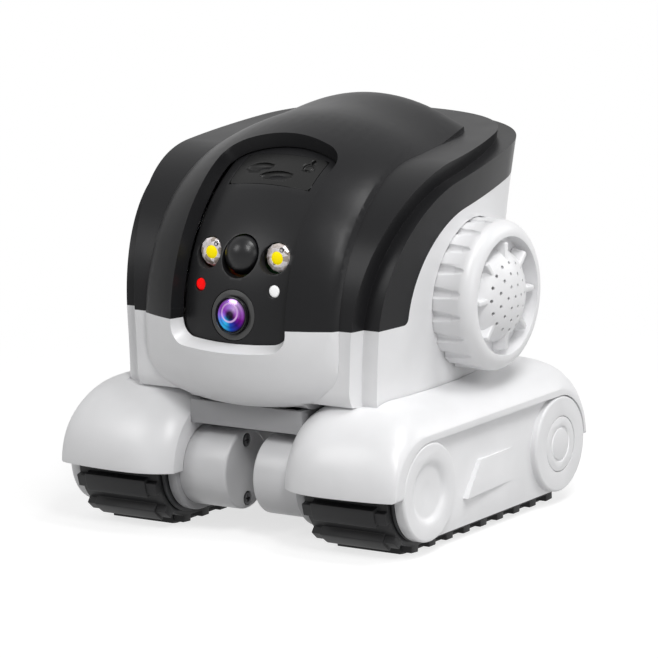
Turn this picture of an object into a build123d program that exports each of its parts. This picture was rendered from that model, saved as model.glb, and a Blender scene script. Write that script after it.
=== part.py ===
from build123d import *
from math import acos, atan, cos, degrees, pi, radians, sin, sqrt, tan
import os

os.makedirs("parts", exist_ok=True)

# Robotic pet camera, millimetres. +X is the side seen at the right of the front,
# -Y is the camera side, z = 0 is the floor under the tracks.

# Running gear
wheel_base = 72.6
belt_radius = 15.6
belt_thickness = 1.8
lug_height = 2.5
lug_width = 20.5
lug_tab = 3.6
lug_tab_drop = 0.7
lug_length = 5.4
lug_count = 26
lug_sink = 0.5
axle_height = belt_radius + lug_height
pod_centre = 38.0
belt_width = 27.0
wheel_gap = 0.3
flange_width = 0.8
flange_height = 0.6
rim_thickness = 2.2
wheel_hub = 4.6
wheel_web = 3.0
axle_radius = 2.0
running_gap = 0.05
belt_in = pod_centre - belt_width / 2
belt_out = pod_centre + belt_width / 2
wheel_radius = belt_radius - belt_thickness - wheel_gap
flange_radius = wheel_radius + flange_height
front_axle = -wheel_base / 2
rear_axle = wheel_base / 2

# Track pods
pod_inner = 18.6
pod_outer = 56.0
skirt_height = 18.3
belt_clearance = 0.3
side_plate_in = belt_out + wheel_gap + flange_width + 0.2
side_plate_out = 54.0
ring_radius = 14.0
ring_gap = 0.2
dish_radius = 7.4
dish_depth = 1.6
hub_cap_radius = 8.0
hub_cap_groove = 4.9
hub_cap_depth = 1.2
hub_groove_half = 0.3
hub_groove_depth = 0.4
frame_in = 20.0
fender_edge = 1.2
ring_edge = 0.8
barrel_edge = 0.8
scoop_points = ((-15.6, 12.1), (12.2, 12.1), (12.2, 21.7), (-7.7, 21.7))
scoop_root = 0.6
frame_out = 22.8
frame_radius = 13.2
spacer_length = 16.0
spacer_height = 10.0
spacer_wall = 2.0
shaft_clearance = 0.4
panel_bore_depth = 1.5
scoop_depth = 1.7
# Each fender station: x, toe length, heel length, crown height, rounding length
fender_stations = (
    (pod_inner, 52.6, 52.6, 36.9, 19.0),
    (24.5, 56.4, 56.4, 40.3, 22.0),
    (pod_centre, 57.6, 57.6, 42.6, 24.0),
    (50.5, 56.3, 56.3, 40.0, 20.0),
    (pod_outer, 54.6, 51.4, 34.1, 16.0),
)

# Chassis and motor barrels
chassis_floor = 31.6
chassis_top = 38.2
chassis_half_length = 43.6
chassis_wall = 2.0
barrel_radius = 11.4
barrel_wall = 1.6
barrel_end = 4.5
barrel_gap = 0.3
screw_offset = 8.4
screw_head_radius = 1.9
screw_head_height = 1.4
screw_radius = 0.9
screw_clearance = 0.3
screw_grip = 3.0
screw_slot_reach = 1.1
screw_slot_width = 0.5
screw_slot_depth = 0.7
barrel_face = 2.6
screw_tip_gap = 0.5
motor_can_radius = 7.2
motor_case_radius = 9.4
motor_case_start = 13.0
motor_shaft_start = 14.5

# Head
beyond = 90.0
tilt_y = 0.4
tilt_z = 60.0
seat_height = 41.0
seat_inset = 0.4
seat_depth = 6.0
step_half_width = 19.6
wall = 2.0
seam_height = 62.5
upper_radius = 45.6
upper_rise = 0.108
upper_chin = 7.0
lower_radius = 40.8
lower_rise = 0.16
lower_chin = 5.0
hood_radius = 55.7
hood_turn = 84.6
hood_length = 32.0
band_radius = 31.2
band_y = 4.0
band_z = 60.8
band_rise = 0.15
band_corner = 2.0
outline_front = -50.0
outline_widest = -3.0
outline_shoulder = 27.0
# Head side flare: height and how far the walls stand outside the seam outline
head_flare = ((36.0, -0.9), (seam_height, 0.0), (122.0, 7.8))
# Plan of each layer: front, widest and shoulder half widths, and rear reach
lower_plan = (40.6, 43.7, 40.0, 46.6)
upper_plan = (34.9, 39.6, 34.4, 43.4)

# Face drum
drum_radius = 50.4
drum_half_width = 17.2
drum_wall = 2.4
face_bend = 62.0
drum_gap = 0.4
cheek = 1.8
cheek_reach = 46.8
drum_low = -17.5
drum_high = 80.0
drum_play = 1.0
tilt_limit = 15.0
window_half_width = 17.6
window_flare = 0.28
window_low = -2.2
window_bezel = 4.6
window_corner = 5.0
window_rim = 1.8
window_sink = 0.6
window_overrun = 4.0
window_top = 16.0
window_start = 6.0
arch_angle = 58.0
arch_drop = 12.0
arch_foot = -10.0
arch_spring = 1.5
arch_shoulder = 8.0
arch_crown = 9.9
arch_bend = 5.4
lens_angle = 5.6
dot_angle = 14.0
light_angle = 24.5
dot_x = 12.1
light_x = 10.9
lens_radius = 5.2
lens_ring_radius = 7.1
pir_radius = 5.75
light_radius = 4.15
dot_radius = 1.7
dot_front = 47.3
optic_gap = 0.15
cover_angle = 58.6
cover_width = 26.6
cover_height = 13.0
cover_depth = 1.3
cover_gap = 0.2
cover_corner = 1.6
crescent_depth = 0.5
crescent_width = 0.9
crescents = ((-5.8, -0.3, 7.6), (0.3, -3.2, 8.6))
keyhole_x = 9.4
keyhole_rise = 2.6
keyhole_radius = 1.9
cheek_hole = 9.0
cheek_hole_reach = 17.0
pivot_end = 23.7
pivot_radius = 3.0
lens_front = 49.9
lens_stand = 0.9
lens_rise = 0.6
lens_seat = 0.8
light_front = 42.2
pir_front = 43.2
pir_rise = 5.2
optic_depth = 3.4
optic_reach = 16.0
chip_radius = 1.9
chip_depth = 1.3
chip_collar = 1.0
chip_collar_gap = 0.4
light_dome = 0.8
board_thickness = 1.6
board_angle = 15.0
optic_board_depth = 35.0
optic_board_height = 27.0
hub_radius = 6.0
bracket_in = 20.7
bracket_thickness = 2.5
gear_module = 0.8
gear_teeth = 40
pinion_teeth = 12
gear_width = 3.0
gear_sector = 30.0
gear_addendum = 0.85
gear_dedendum = 1.25
gear_overlap = 0.3
flank_steps = 4
pinion_gap = 0.3
pressure_angle = 20.0
bracket_foot = 14.0
bracket_head = 6.0
gear_backlash = 0.22
tilt_motor_radius = 9.4
tilt_motor_length = 13.0
pinion_shaft_radius = 1.5
pinion_shaft_grip = 6.5

# Drop of the crowned face from its middle to the edge of the window
face_drop = face_bend - sqrt(face_bend**2 - window_half_width**2)

# Ears
ear_y = 6.4
ear_z = 66.3
ear_radius = 21.5
ear_seat = 43.5
ear_dish_radius = 16.9
ear_dish_depth = 4.6
ear_rounding = 4.2
ear_floor = 1.6
ear_grooves = 20
groove_radius = 1.3
groove_end = 50.8
ear_plug_depth = 2.3
ear_plug_room = 6.0
ear_gap = 0.3
dome_radius = 12.6
dome_height = 5.6
grille_wall = 1.2
grille_hole = 0.55
grille_pitch = 2.9
grille_rings = 4
holes_per_ring = 6
fin_start = 9.5
fin_count = 8
fin_root = 2.8
fin_tip = 1.1
fin_height = 3.4
fin_reach = 15.9
fin_rounding = 0.5
speaker_mouth = 10.5
ear_plug_radius = 18.7
ear_bore = 17.1
groove_circle = 21.8
speaker_radius = 12.0
speaker_depth = 3.6
speaker_cone = 9.6
speaker_dip = 1.6

# Inside the head
cell_radius = 9.1
cell_length = 65.0
cell_y = 20.4
cell_heights = (52.3, 70.8)
cradle_x = 25.0
cradle_length = 12.0
cradle_width = 12.0
board_centre = 64.0
board_y = 39.0
board_width = 40.0
board_height = 38.0
port_x = 9.0
port_z = 54.0
port_width = 8.9
port_height = 3.2
port_wall = 0.4
port_rounding = 1.5
button_x = -9.0
button_radius = 3.6
button_gap = 0.2
button_flange = 1.0
button_start = 42.5
button_end = 47.2
button_edge = 0.5
port_end = 45.6
port_tongue = (6.6, 0.7, 4.6)
post_x = 16.0
post_heights = (49.0, 79.0)
post_radius = 2.2
base_screw_x = 12.0
base_screw_y = (-30.0, 30.0)
base_boss_radius = 2.2
base_boss_height = 3.6


def turning_plane(y, z):
    """Local x runs along X and local y is the height above the axis."""
    return Plane(origin=(0, y, z), x_dir=(1, 0, 0), z_dir=(0, -1, 0))


def cross_axis(y, z):
    return Axis((0, y, z), (1, 0, 0))


def station_plane(angle, slide=0.0):
    """Radial section plane through the tilt axis; local y points away from it."""
    a = radians(angle)
    origin = (0, tilt_y + slide * sin(a), tilt_z + slide * cos(a))
    return Plane(origin=origin, x_dir=(1, 0, 0), z_dir=(0, -sin(a), -cos(a)))


def panel_plane(angle, radius, x=0.0):
    """Plane touching the face drum, looking out along the radius."""
    a = radians(angle)
    origin = (x, tilt_y - radius * cos(a), tilt_z + radius * sin(a))
    return Plane(origin=origin, x_dir=(1, 0, 0), z_dir=(0, -cos(a), sin(a)))


tilt_axis = Axis((0, tilt_y, tilt_z), (-1, 0, 0))


def face_arcs(grow, half_width, depth):
    """Crowned band of the face: grow outside its surface, depth thick, drawn in a station."""
    edge = drum_radius - (face_bend - sqrt(face_bend**2 - half_width**2)) + grow
    crown = drum_radius + grow
    top = ThreePointArc((-half_width, edge), (0, crown), (half_width, edge))
    base = ThreePointArc(
        (half_width, edge - depth), (0, crown - depth), (-half_width, edge - depth)
    )
    Line(top @ 1, base @ 0)
    Line(base @ 1, top @ 0)


def drum_space(start, sweep):
    """Room that the face needs with its gap, from start round the axis by sweep."""
    half_width = window_half_width
    edge = drum_radius - (face_bend - sqrt(face_bend**2 - half_width**2)) + drum_gap
    with BuildPart() as space:
        with BuildSketch(station_plane(start)):
            with BuildLine():
                ThreePointArc((-half_width, edge), (0, drum_radius + drum_gap), (half_width, edge))
                Polyline((half_width, edge), (half_width, 0), (-half_width, 0), (-half_width, edge))
            make_face()
        revolve(axis=tilt_axis, revolution_arc=sweep)
    return space.part


def save_piece(piece, name):
    """Label one piece and write its file."""
    piece.label = name
    export_step(piece, f"parts/{name}.step")


def level_plane(angle, depth, x=0.0):
    """Upright plane in front of the axis, at the height where angle meets the face."""
    origin = (x, tilt_y - depth, tilt_z + drum_radius * sin(radians(angle)))
    return Plane(origin=origin, x_dir=(1, 0, 0), z_dir=(0, -1, 0))


def save_pair(piece, name):
    """Write the right-hand piece and its mirrored twin."""
    save_piece(piece, f"right_{name}")
    with BuildPart() as twin:
        mirror(piece, about=Plane.YZ)
    save_piece(twin.part, f"left_{name}")


def plan_sketch(z, spread, plan):
    """Head outline seen from above: gently bowed sides and a round back."""
    front, widest, shoulder, rear = (size + spread for size in plan)
    with BuildSketch(Plane.XY.offset(z)) as outline:
        with BuildLine():
            side = ThreePointArc(
                (front, outline_front), (widest, outline_widest), (shoulder, outline_shoulder)
            )
            Spline(side @ 1, (0, rear), tangents=(side % 1, (-1, 0)))
            Line((0, outline_front), (front, outline_front))
            mirror(about=Plane.YZ)
        make_face()
    return outline.sketch


def layer_form(radius, rise, chin, low, plan, inset):
    """One stepped layer of the head, drawn in from its surface by inset."""
    r = radius - inset
    turn = 90 - degrees(atan(rise))
    round_low = chin - inset
    base = low + inset
    with BuildPart() as form:
        for z, spread in head_flare:
            add(plan_sketch(z, spread - inset, plan))
        loft()
        with BuildSketch(Plane.YZ):
            with BuildLine():
                chin_arc = CenterArc(
                    (tilt_y - r + round_low, base + round_low), round_low, 270, -90
                )
                front = Line(chin_arc @ 1, (tilt_y - r, tilt_z))
                brow = CenterArc((tilt_y, tilt_z), r, 180, -turn)
                roof = Line(brow @ 1, (beyond, (brow @ 1).Y + rise * (beyond - (brow @ 1).X)))
                back = Line(roof @ 1, (beyond, base))
                Line(back @ 1, chin_arc @ 0)
            make_face()
        extrude(amount=beyond, both=True, mode=Mode.INTERSECT)
    return form.part


# Hood stations: angle, slide, reach at the middle, edge and foot half widths, crown bend
hood_stations = (
    (-32.0, 0.0, 42.4, 20.0, 22.0, 62.0),
    (-25.0, 0.0, 50.6, 27.0, 29.4, 62.0),
    (-18.0, 0.0, 54.8, 30.8, 33.0, 62.0),
    (-8.0, 0.0, hood_radius, 31.2, 33.3, 62.0),
    (20.0, 0.0, hood_radius, 31.2, 33.3, 62.0),
    (50.0, 0.0, hood_radius, 31.0, 33.3, 60.0),
    (hood_turn, 0.0, hood_radius, 28.6, 33.0, 57.0),
    (hood_turn, 11.0, hood_radius, 26.6, 32.0, 56.0),
    (hood_turn, 22.0, hood_radius, 24.2, 31.0, 55.0),
    (hood_turn, hood_length, hood_radius - 0.5, 21.8, 29.2, 54.0),
)
hood_root = 28.0
hood_bank = 3.4


def hood_form(inset):
    """The crowned plateau that wraps the face and runs back over the head as a hood."""
    with BuildPart() as form:
        for angle, slide, crown, edge, foot, bend in hood_stations:
            top = crown - inset
            rim = edge - inset
            edge_r = top - (bend - sqrt(bend**2 - rim**2))
            tail = inset if slide == hood_length else 0
            with BuildSketch(station_plane(angle, slide - tail)):
                with BuildLine():
                    Polyline(
                        (-rim, edge_r),
                        (-foot + inset, edge_r - hood_bank),
                        (-foot + inset, hood_root),
                        (foot - inset, hood_root),
                        (foot - inset, edge_r - hood_bank),
                        (rim, edge_r),
                    )
                    ThreePointArc((rim, edge_r), (0, top), (-rim, edge_r))
                make_face()
        loft()
    return form.part


def window_form(grow):
    """The opening in front of the face drum, widening towards the outside."""
    inner = drum_radius + drum_gap - window_sink - face_drop
    outer = hood_radius + window_overrun
    half_in = window_half_width + grow
    half_out = half_in + window_flare * (outer - inner)
    low_z = tilt_z + inner * sin(radians(window_low)) - grow
    top_z = tilt_z + window_top
    with BuildPart() as form:
        with BuildSketch(panel_plane(0, inner * cos(radians(window_low)))):
            with Locations((0, (low_z + top_z) / 2 - tilt_z)):
                RectangleRounded(2 * half_in, top_z - low_z, window_corner)
        with BuildSketch(panel_plane(0, outer)):
            with Locations((0, (low_z - window_bezel + top_z) / 2 - tilt_z)):
                RectangleRounded(2 * half_out, top_z - low_z + window_bezel, window_corner)
        loft()
        with BuildSketch(station_plane(window_start)):
            with BuildLine():
                Polyline(
                    (-half_in, inner), (half_in, inner), (half_out, outer), (-half_out, outer),
                    close=True,
                )
            make_face()
        revolve(axis=tilt_axis, revolution_arc=arch_angle - window_start)
        with BuildSketch(panel_plane(arch_angle, inner * cos(radians(arch_drop)))):
            with BuildLine():
                bend_x = half_in - arch_bend
                bend_y = arch_shoulder + grow
                foot = Polyline(
                    (-half_in, arch_spring), (-half_in, arch_foot),
                    (half_in, arch_foot), (half_in, arch_spring),
                )
                shoulder = TangentArc(foot @ 1, (bend_x, bend_y), tangent=(0, 1))
                crown = ThreePointArc(shoulder @ 1, (0, arch_crown + grow), (-bend_x, bend_y))
                TangentArc(foot @ 0, crown @ 1, tangent=(0, 1))
            make_face()
        extrude(amount=outer - inner + window_rim, taper=-degrees(atan(window_flare)))
    return form.part


# Head shell: outer layers, hollow, and the region of the black cover
skin = layer_form(lower_radius, lower_rise, lower_chin, chassis_top, lower_plan, 0)
core = layer_form(lower_radius, lower_rise, lower_chin, chassis_top, lower_plan, wall)
upper_skin = layer_form(upper_radius, upper_rise, upper_chin, chassis_top, upper_plan, 0)
upper_core = layer_form(upper_radius, upper_rise, upper_chin, chassis_top, upper_plan, wall)

with BuildPart() as upper_region:
    with BuildSketch(Plane.YZ):
        with BuildLine():
            low_turn = degrees(acos(sqrt(1 - ((seam_height - band_z) / band_radius) ** 2)))
            roof_turn = 90 - degrees(atan(band_rise))
            edge = CenterArc((band_y, band_z), band_radius, 180 - low_turn, low_turn - roof_turn)
            tail = Line(edge @ 1, (beyond, (edge @ 1).Y + band_rise * (beyond - (edge @ 1).X)))
            Polyline(
                tail @ 1, (beyond, 2 * beyond), (-beyond, 2 * beyond), (-beyond, seam_height),
                edge @ 0,
            )
        make_face()
        corner = vertices().sort_by_distance((band_y - band_radius, seam_height))[0]
        fillet(corner, band_corner)
    extrude(amount=beyond, both=True)

with BuildPart() as head_inside:
    add(core)
    add(upper_core)
    add(hood_form(wall))
    Box(
        2 * beyond, 2 * beyond, chassis_top + wall,
        align=(Align.CENTER, Align.CENTER, Align.MIN), mode=Mode.SUBTRACT,
    )
    for side in (-1, 1):
        with Locations((side * (step_half_width - wall + beyond / 2), 0, 0)):
            Box(
                beyond, 2 * beyond, seat_height + wall,
                align=(Align.CENTER, Align.CENTER, Align.MIN), mode=Mode.SUBTRACT,
            )

with BuildPart() as head_outside:
    add(skin)
    add(upper_skin)
    add(hood_form(0))
    Box(
        2 * beyond, 2 * beyond, chassis_top,
        align=(Align.CENTER, Align.CENTER, Align.MIN), mode=Mode.SUBTRACT,
    )
    for side in (-1, 1):
        with Locations((side * (step_half_width + beyond / 2), 0, 0)):
            Box(
                beyond, 2 * beyond, seat_height,
                align=(Align.CENTER, Align.CENTER, Align.MIN), mode=Mode.SUBTRACT,
            )

with BuildPart() as window_frame:
    add(window_form(window_rim))
    add(head_outside.part, mode=Mode.INTERSECT)
    with BuildSketch(Plane.YZ):
        with Locations((tilt_y, tilt_z)):
            Circle(drum_radius + drum_gap - face_drop)
    extrude(amount=beyond, both=True, mode=Mode.SUBTRACT)

# Room behind the window for the drum at every tilt
drum_room = drum_space(drum_low - drum_play, drum_high + tilt_limit - drum_low + 2 * drum_play)

with BuildPart() as head_shell:
    add(head_outside.part)
    add(head_inside.part, mode=Mode.SUBTRACT)
    add(window_frame.part)
    add(window_form(0), mode=Mode.SUBTRACT)
    add(drum_room, mode=Mode.SUBTRACT)
    for side in (-1, 1):
        with BuildSketch(Plane.YZ.offset(side * ear_seat)):
            with Locations((ear_y, ear_z)):
                Circle(ear_radius + ear_gap)
        extrude(amount=side * beyond, mode=Mode.SUBTRACT)
        with BuildSketch(Plane.YZ.offset(side * (ear_seat - ear_plug_room))):
            with Locations((ear_y, ear_z)):
                Circle(ear_plug_radius + ear_gap)
        extrude(amount=side * beyond, mode=Mode.SUBTRACT)

with BuildPart() as head_top_cover:
    add(head_shell.part)
    add(upper_region.part, mode=Mode.INTERSECT)
head_top_cover.part.label = "head_top_cover"
export_step(head_top_cover.part, "parts/head_top_cover.step")


with BuildPart() as board_posts:
    with BuildSketch(Plane.XZ.offset(-(board_y + board_thickness))):
        with Locations(*[(x, z) for x in (-post_x, post_x) for z in post_heights]):
            Circle(post_radius)
    extrude(amount=-beyond)
    add(core, mode=Mode.INTERSECT)

base_screws = [(x, y) for x in (-base_screw_x, base_screw_x) for y in base_screw_y]

with BuildPart() as head_lower_shell:
    add(head_shell.part)
    add(upper_region.part, mode=Mode.SUBTRACT)
    add(board_posts.part)
    with BuildSketch(Plane.XZ.offset(-(board_y + board_thickness))):
        with Locations((port_x, port_z)):
            RectangleRounded(
                port_width + 2 * optic_gap, port_height + 2 * optic_gap, port_height / 2
            )
        with Locations((button_x, port_z)):
            Circle(button_radius + button_gap)
    extrude(amount=-beyond, mode=Mode.SUBTRACT)
    with BuildSketch(Plane.XY.offset(chassis_top + wall / 2)):
        with Locations(*base_screws):
            Circle(base_boss_radius)
    extrude(amount=base_boss_height)
    with BuildSketch(Plane.XY.offset(chassis_top)):
        with Locations(*base_screws):
            Circle(screw_radius + running_gap)
    extrude(amount=wall / 2 + base_boss_height, mode=Mode.SUBTRACT)
head_lower_shell.part.label = "head_lower_shell"
export_step(head_lower_shell.part, "parts/head_lower_shell.step")

# Chassis tray under the head, screwed to it from below
with BuildPart() as chassis_tray:
    with BuildSketch(Plane.XY.offset(chassis_floor)):
        Rectangle(2 * pod_inner, 2 * chassis_half_length)
    extrude(amount=chassis_top - chassis_floor)
    with BuildSketch(Plane.XY.offset(chassis_floor + chassis_wall)):
        Rectangle(2 * (pod_inner - chassis_wall), 2 * (chassis_half_length - chassis_wall))
        with Locations(*base_screws):
            Circle(base_boss_radius + screw_head_radius - screw_radius, mode=Mode.SUBTRACT)
    extrude(amount=chassis_top - chassis_floor, mode=Mode.SUBTRACT)
    with BuildSketch(Plane.XY.offset(chassis_floor)):
        with Locations(*base_screws):
            Circle(screw_radius + screw_clearance)
    extrude(amount=chassis_top - chassis_floor, mode=Mode.SUBTRACT)
    with BuildSketch(Plane.XY.offset(chassis_floor)):
        with Locations(*base_screws):
            Circle(screw_head_radius + screw_clearance)
    extrude(amount=screw_head_height, mode=Mode.SUBTRACT)
chassis_tray.part.label = "chassis_tray"
export_step(chassis_tray.part, "parts/chassis_tray.step")

with BuildPart() as chassis_screws:
    with BuildSketch(Plane.XY.offset(chassis_floor)):
        with Locations(*base_screws):
            Circle(screw_head_radius)
    extrude(amount=screw_head_height)
    with BuildSketch(Plane.XY.offset(chassis_floor)):
        with Locations(*base_screws):
            Circle(screw_radius)
    extrude(amount=chassis_top + wall / 2 - chassis_floor + base_boss_height / 2)
    with BuildSketch(Plane.XY.offset(chassis_floor)):
        with Locations(*base_screws):
            Rectangle(2 * screw_slot_reach, screw_slot_width)
            Rectangle(screw_slot_width, 2 * screw_slot_reach)
    extrude(amount=screw_slot_depth, mode=Mode.SUBTRACT)
chassis_screws.part.label = "chassis_screws"
export_step(chassis_screws.part, "parts/chassis_screws.step")

# Track pods: fender, running gear and side panel, drawn for the +X side and mirrored
with BuildPart() as head_seat:
    add(plan_sketch(seat_height, -seat_inset, lower_plan))
    extrude(amount=seat_depth)
    with Locations((0, -chassis_half_length, 0)):
        Box(
            2 * beyond, 2 * beyond, 2 * beyond,
            align=(Align.CENTER, Align.MIN, Align.CENTER), mode=Mode.INTERSECT,
        )

with BuildPart() as fender:
    for x, toe, heel, crown, rounding in fender_stations:
        with BuildSketch(Plane.YZ.offset(x)):
            with BuildLine():
                rise = crown - skirt_height
                nose = EllipticalCenterArc(
                    (rounding - toe, skirt_height), rounding, rise, start_angle=90, arc_size=90
                )
                tail = EllipticalCenterArc(
                    (heel - rounding, skirt_height), rounding, rise, start_angle=0, arc_size=90
                )
                Line((rounding - toe, crown), (heel - rounding, crown))
                Line((-toe, skirt_height), (heel, skirt_height))
            make_face()
    loft()
    outer_rim = faces().sort_by(Axis.X)[-1].edges().filter_by(GeomType.LINE, reverse=True)
    fillet(outer_rim, fender_edge)
    for start, end, radius in (
        (frame_in, frame_out + shaft_clearance, frame_radius + belt_clearance),
        (frame_out + shaft_clearance, belt_in - wheel_gap, flange_radius + shaft_clearance),
        (belt_in - wheel_gap, belt_out + wheel_gap, axle_height + belt_clearance),
        (belt_out + wheel_gap, side_plate_in, flange_radius + shaft_clearance),
        (side_plate_in, pod_outer, ring_radius + ring_gap),
    ):
        with BuildSketch(Plane.YZ.offset(start)):
            with Locations((0, axle_height)):
                SlotCenterToCenter(wheel_base, 2 * radius)
        extrude(amount=end - start, mode=Mode.SUBTRACT)
    with BuildSketch(Plane.YZ.offset(pod_inner)):
        with Locations((front_axle, axle_height)):
            Circle(barrel_radius + barrel_gap)
    extrude(amount=frame_in - pod_inner, mode=Mode.SUBTRACT)
    add(head_seat.part, mode=Mode.SUBTRACT)
save_pair(fender.part, "fender")

with BuildPart() as inner_frame:
    with BuildSketch(Plane.YZ.offset(frame_in)):
        with Locations((0, axle_height)):
            SlotCenterToCenter(wheel_base, 2 * frame_radius)
        with Locations((front_axle, axle_height)):
            Circle(axle_radius + shaft_clearance, mode=Mode.SUBTRACT)
        with Locations((rear_axle, axle_height)):
            Circle(axle_radius + running_gap, mode=Mode.SUBTRACT)
    extrude(amount=frame_out - frame_in)
    with BuildSketch(Plane.YZ.offset(frame_out)):
        with Locations((0, axle_height)):
            Rectangle(spacer_length, spacer_height)
            Rectangle(
                spacer_length - 2 * spacer_wall, spacer_height - 2 * spacer_wall,
                mode=Mode.SUBTRACT,
            )
    extrude(amount=side_plate_in - frame_out)
save_pair(inner_frame.part, "inner_frame")

# Ramp on the side panel, deepest along its slanted front edge
with BuildPart() as scoop:
    with BuildSketch(Plane.YZ.offset(side_plate_out - scoop_root)):
        Polygon(*scoop_points, align=None)
    extrude(amount=scoop_root + scoop_depth)
    with BuildSketch(Plane.XY):
        with BuildLine():
            Polyline(
                (side_plate_out - scoop_root, scoop_points[0][0]),
                (side_plate_out + scoop_depth, scoop_points[0][0]),
                (side_plate_out, scoop_points[1][0]),
                (side_plate_out - scoop_root, scoop_points[1][0]),
                close=True,
            )
        make_face()
    extrude(amount=beyond, mode=Mode.INTERSECT)

with BuildPart() as side_panel:
    with BuildSketch(Plane.YZ.offset(side_plate_in)):
        with Locations((front_axle, axle_height), (rear_axle, axle_height)):
            Circle(ring_radius)
    extrude(amount=pod_outer - side_plate_in)
    fillet(edges().group_by(Axis.X)[-1], ring_edge)
    with BuildSketch(Plane.YZ.offset(side_plate_in)):
        with Locations((0, axle_height)):
            SlotCenterToCenter(wheel_base, 2 * ring_radius)
    extrude(amount=side_plate_out - side_plate_in)
    add(scoop.part)
    dish_sphere = (dish_radius**2 + dish_depth**2) / (2 * dish_depth)
    with Locations((pod_outer + dish_sphere - dish_depth, front_axle, axle_height)):
        Sphere(dish_sphere, mode=Mode.SUBTRACT)
    with BuildSketch(Plane.YZ.offset(pod_outer - hub_cap_depth)):
        with Locations((rear_axle, axle_height)):
            Circle(hub_cap_radius + ring_gap)
    extrude(amount=hub_cap_depth, mode=Mode.SUBTRACT)
    with BuildSketch(Plane.YZ.offset(side_plate_in)):
        with Locations((front_axle, axle_height), (rear_axle, axle_height)):
            Circle(axle_radius + running_gap)
    extrude(amount=panel_bore_depth, mode=Mode.SUBTRACT)
save_pair(side_panel.part, "side_panel")

with BuildPart() as hub_cap:
    with BuildSketch(Plane.YZ.offset(pod_outer - hub_cap_depth)):
        with Locations((rear_axle, axle_height)):
            Circle(hub_cap_radius)
    extrude(amount=hub_cap_depth)
    with BuildSketch(Plane.YZ.offset(pod_outer - hub_groove_depth)):
        with Locations((rear_axle, axle_height)):
            Circle(hub_cap_groove + hub_groove_half)
            Circle(hub_cap_groove - hub_groove_half, mode=Mode.SUBTRACT)
    extrude(amount=hub_groove_depth, mode=Mode.SUBTRACT)
save_pair(hub_cap.part, "hub_cap")


def belt_place(travel):
    """Point and outward direction on the belt, starting below the middle of the pod."""
    half = wheel_base / 2
    arc = pi * belt_radius
    if travel < half:
        return (travel, axle_height - belt_radius), (0, -1)
    if travel < half + arc:
        turn = (travel - half) / belt_radius
        return (
            (half + belt_radius * sin(turn), axle_height - belt_radius * cos(turn)),
            (sin(turn), -cos(turn)),
        )
    if travel < 3 * half + arc:
        return (2 * half + arc - travel, axle_height + belt_radius), (0, 1)
    if travel < 3 * half + 2 * arc:
        turn = (travel - 3 * half) / belt_radius
        return (
            (-half + belt_radius * sin(turn), axle_height - belt_radius * cos(turn)),
            (sin(turn), -cos(turn)),
        )
    return (travel - 4 * half - 2 * arc, axle_height - belt_radius), (0, -1)


belt_length = 2 * wheel_base + 2 * pi * belt_radius
lug_planes = []
for index in range(lug_count):
    place, outward = belt_place(index * belt_length / lug_count)
    lug_planes.append(
        Plane(origin=(pod_centre, *place), x_dir=(1, 0, 0), z_dir=(0, *outward))
    )

with BuildPart() as track:
    with BuildSketch(Plane.YZ.offset(belt_in)):
        with Locations((0, axle_height)):
            SlotCenterToCenter(wheel_base, 2 * belt_radius)
            SlotCenterToCenter(wheel_base, 2 * (belt_radius - belt_thickness), mode=Mode.SUBTRACT)
    extrude(amount=belt_width)
    with Locations(*[plane.offset(-lug_sink) for plane in lug_planes]):
        Box(
            lug_width, lug_length, lug_height + lug_sink,
            align=(Align.CENTER, Align.CENTER, Align.MIN),
        )
        Box(
            belt_width, lug_tab, lug_height - lug_tab_drop + lug_sink,
            align=(Align.CENTER, Align.CENTER, Align.MIN),
        )
    with BuildSketch(Plane.YZ.offset(belt_in)):
        with Locations((0, axle_height)):
            SlotCenterToCenter(wheel_base, 2 * axle_height)
    extrude(amount=belt_width, mode=Mode.INTERSECT)
save_pair(track.part, "track")


def track_wheel(y):
    """Flanged drum that carries the belt: hub, web and rim in one."""
    outer_in = belt_in - wheel_gap - flange_width
    outer_out = belt_out + wheel_gap + flange_width
    rim_in = wheel_radius - rim_thickness
    bore = axle_radius + running_gap
    with BuildPart() as wheel:
        with BuildSketch(turning_plane(y, axle_height)):
            with BuildLine():
                Polyline(
                    (outer_in, bore), (outer_in, wheel_hub),
                    (pod_centre - wheel_web / 2, wheel_hub),
                    (pod_centre - wheel_web / 2, rim_in),
                    (outer_in, rim_in), (outer_in, flange_radius),
                    (belt_in - wheel_gap, flange_radius), (belt_in - wheel_gap, wheel_radius),
                    (belt_out + wheel_gap, wheel_radius), (belt_out + wheel_gap, flange_radius),
                    (outer_out, flange_radius), (outer_out, rim_in),
                    (pod_centre + wheel_web / 2, rim_in),
                    (pod_centre + wheel_web / 2, wheel_hub),
                    (outer_out, wheel_hub), (outer_out, bore),
                    close=True,
                )
            make_face()
        revolve(axis=cross_axis(y, axle_height))
    return wheel.part


save_pair(track_wheel(front_axle), "drive_wheel")
save_pair(track_wheel(rear_axle), "idler_wheel")

with BuildPart() as drive_shaft:
    with BuildSketch(Plane.YZ.offset(motor_shaft_start)):
        with Locations((front_axle, axle_height)):
            Circle(axle_radius)
    extrude(amount=side_plate_in + panel_bore_depth - wheel_gap - motor_shaft_start)
save_pair(drive_shaft.part, "drive_shaft")

with BuildPart() as idler_axle:
    with BuildSketch(Plane.YZ.offset(frame_in)):
        with Locations((rear_axle, axle_height)):
            Circle(axle_radius)
    extrude(amount=side_plate_in + panel_bore_depth - frame_in)
save_pair(idler_axle.part, "idler_axle")

# Motor barrels between the pods
barrel_screw_places = [
    (front_axle, axle_height - screw_offset),
    (front_axle, axle_height + screw_offset),
]

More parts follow.
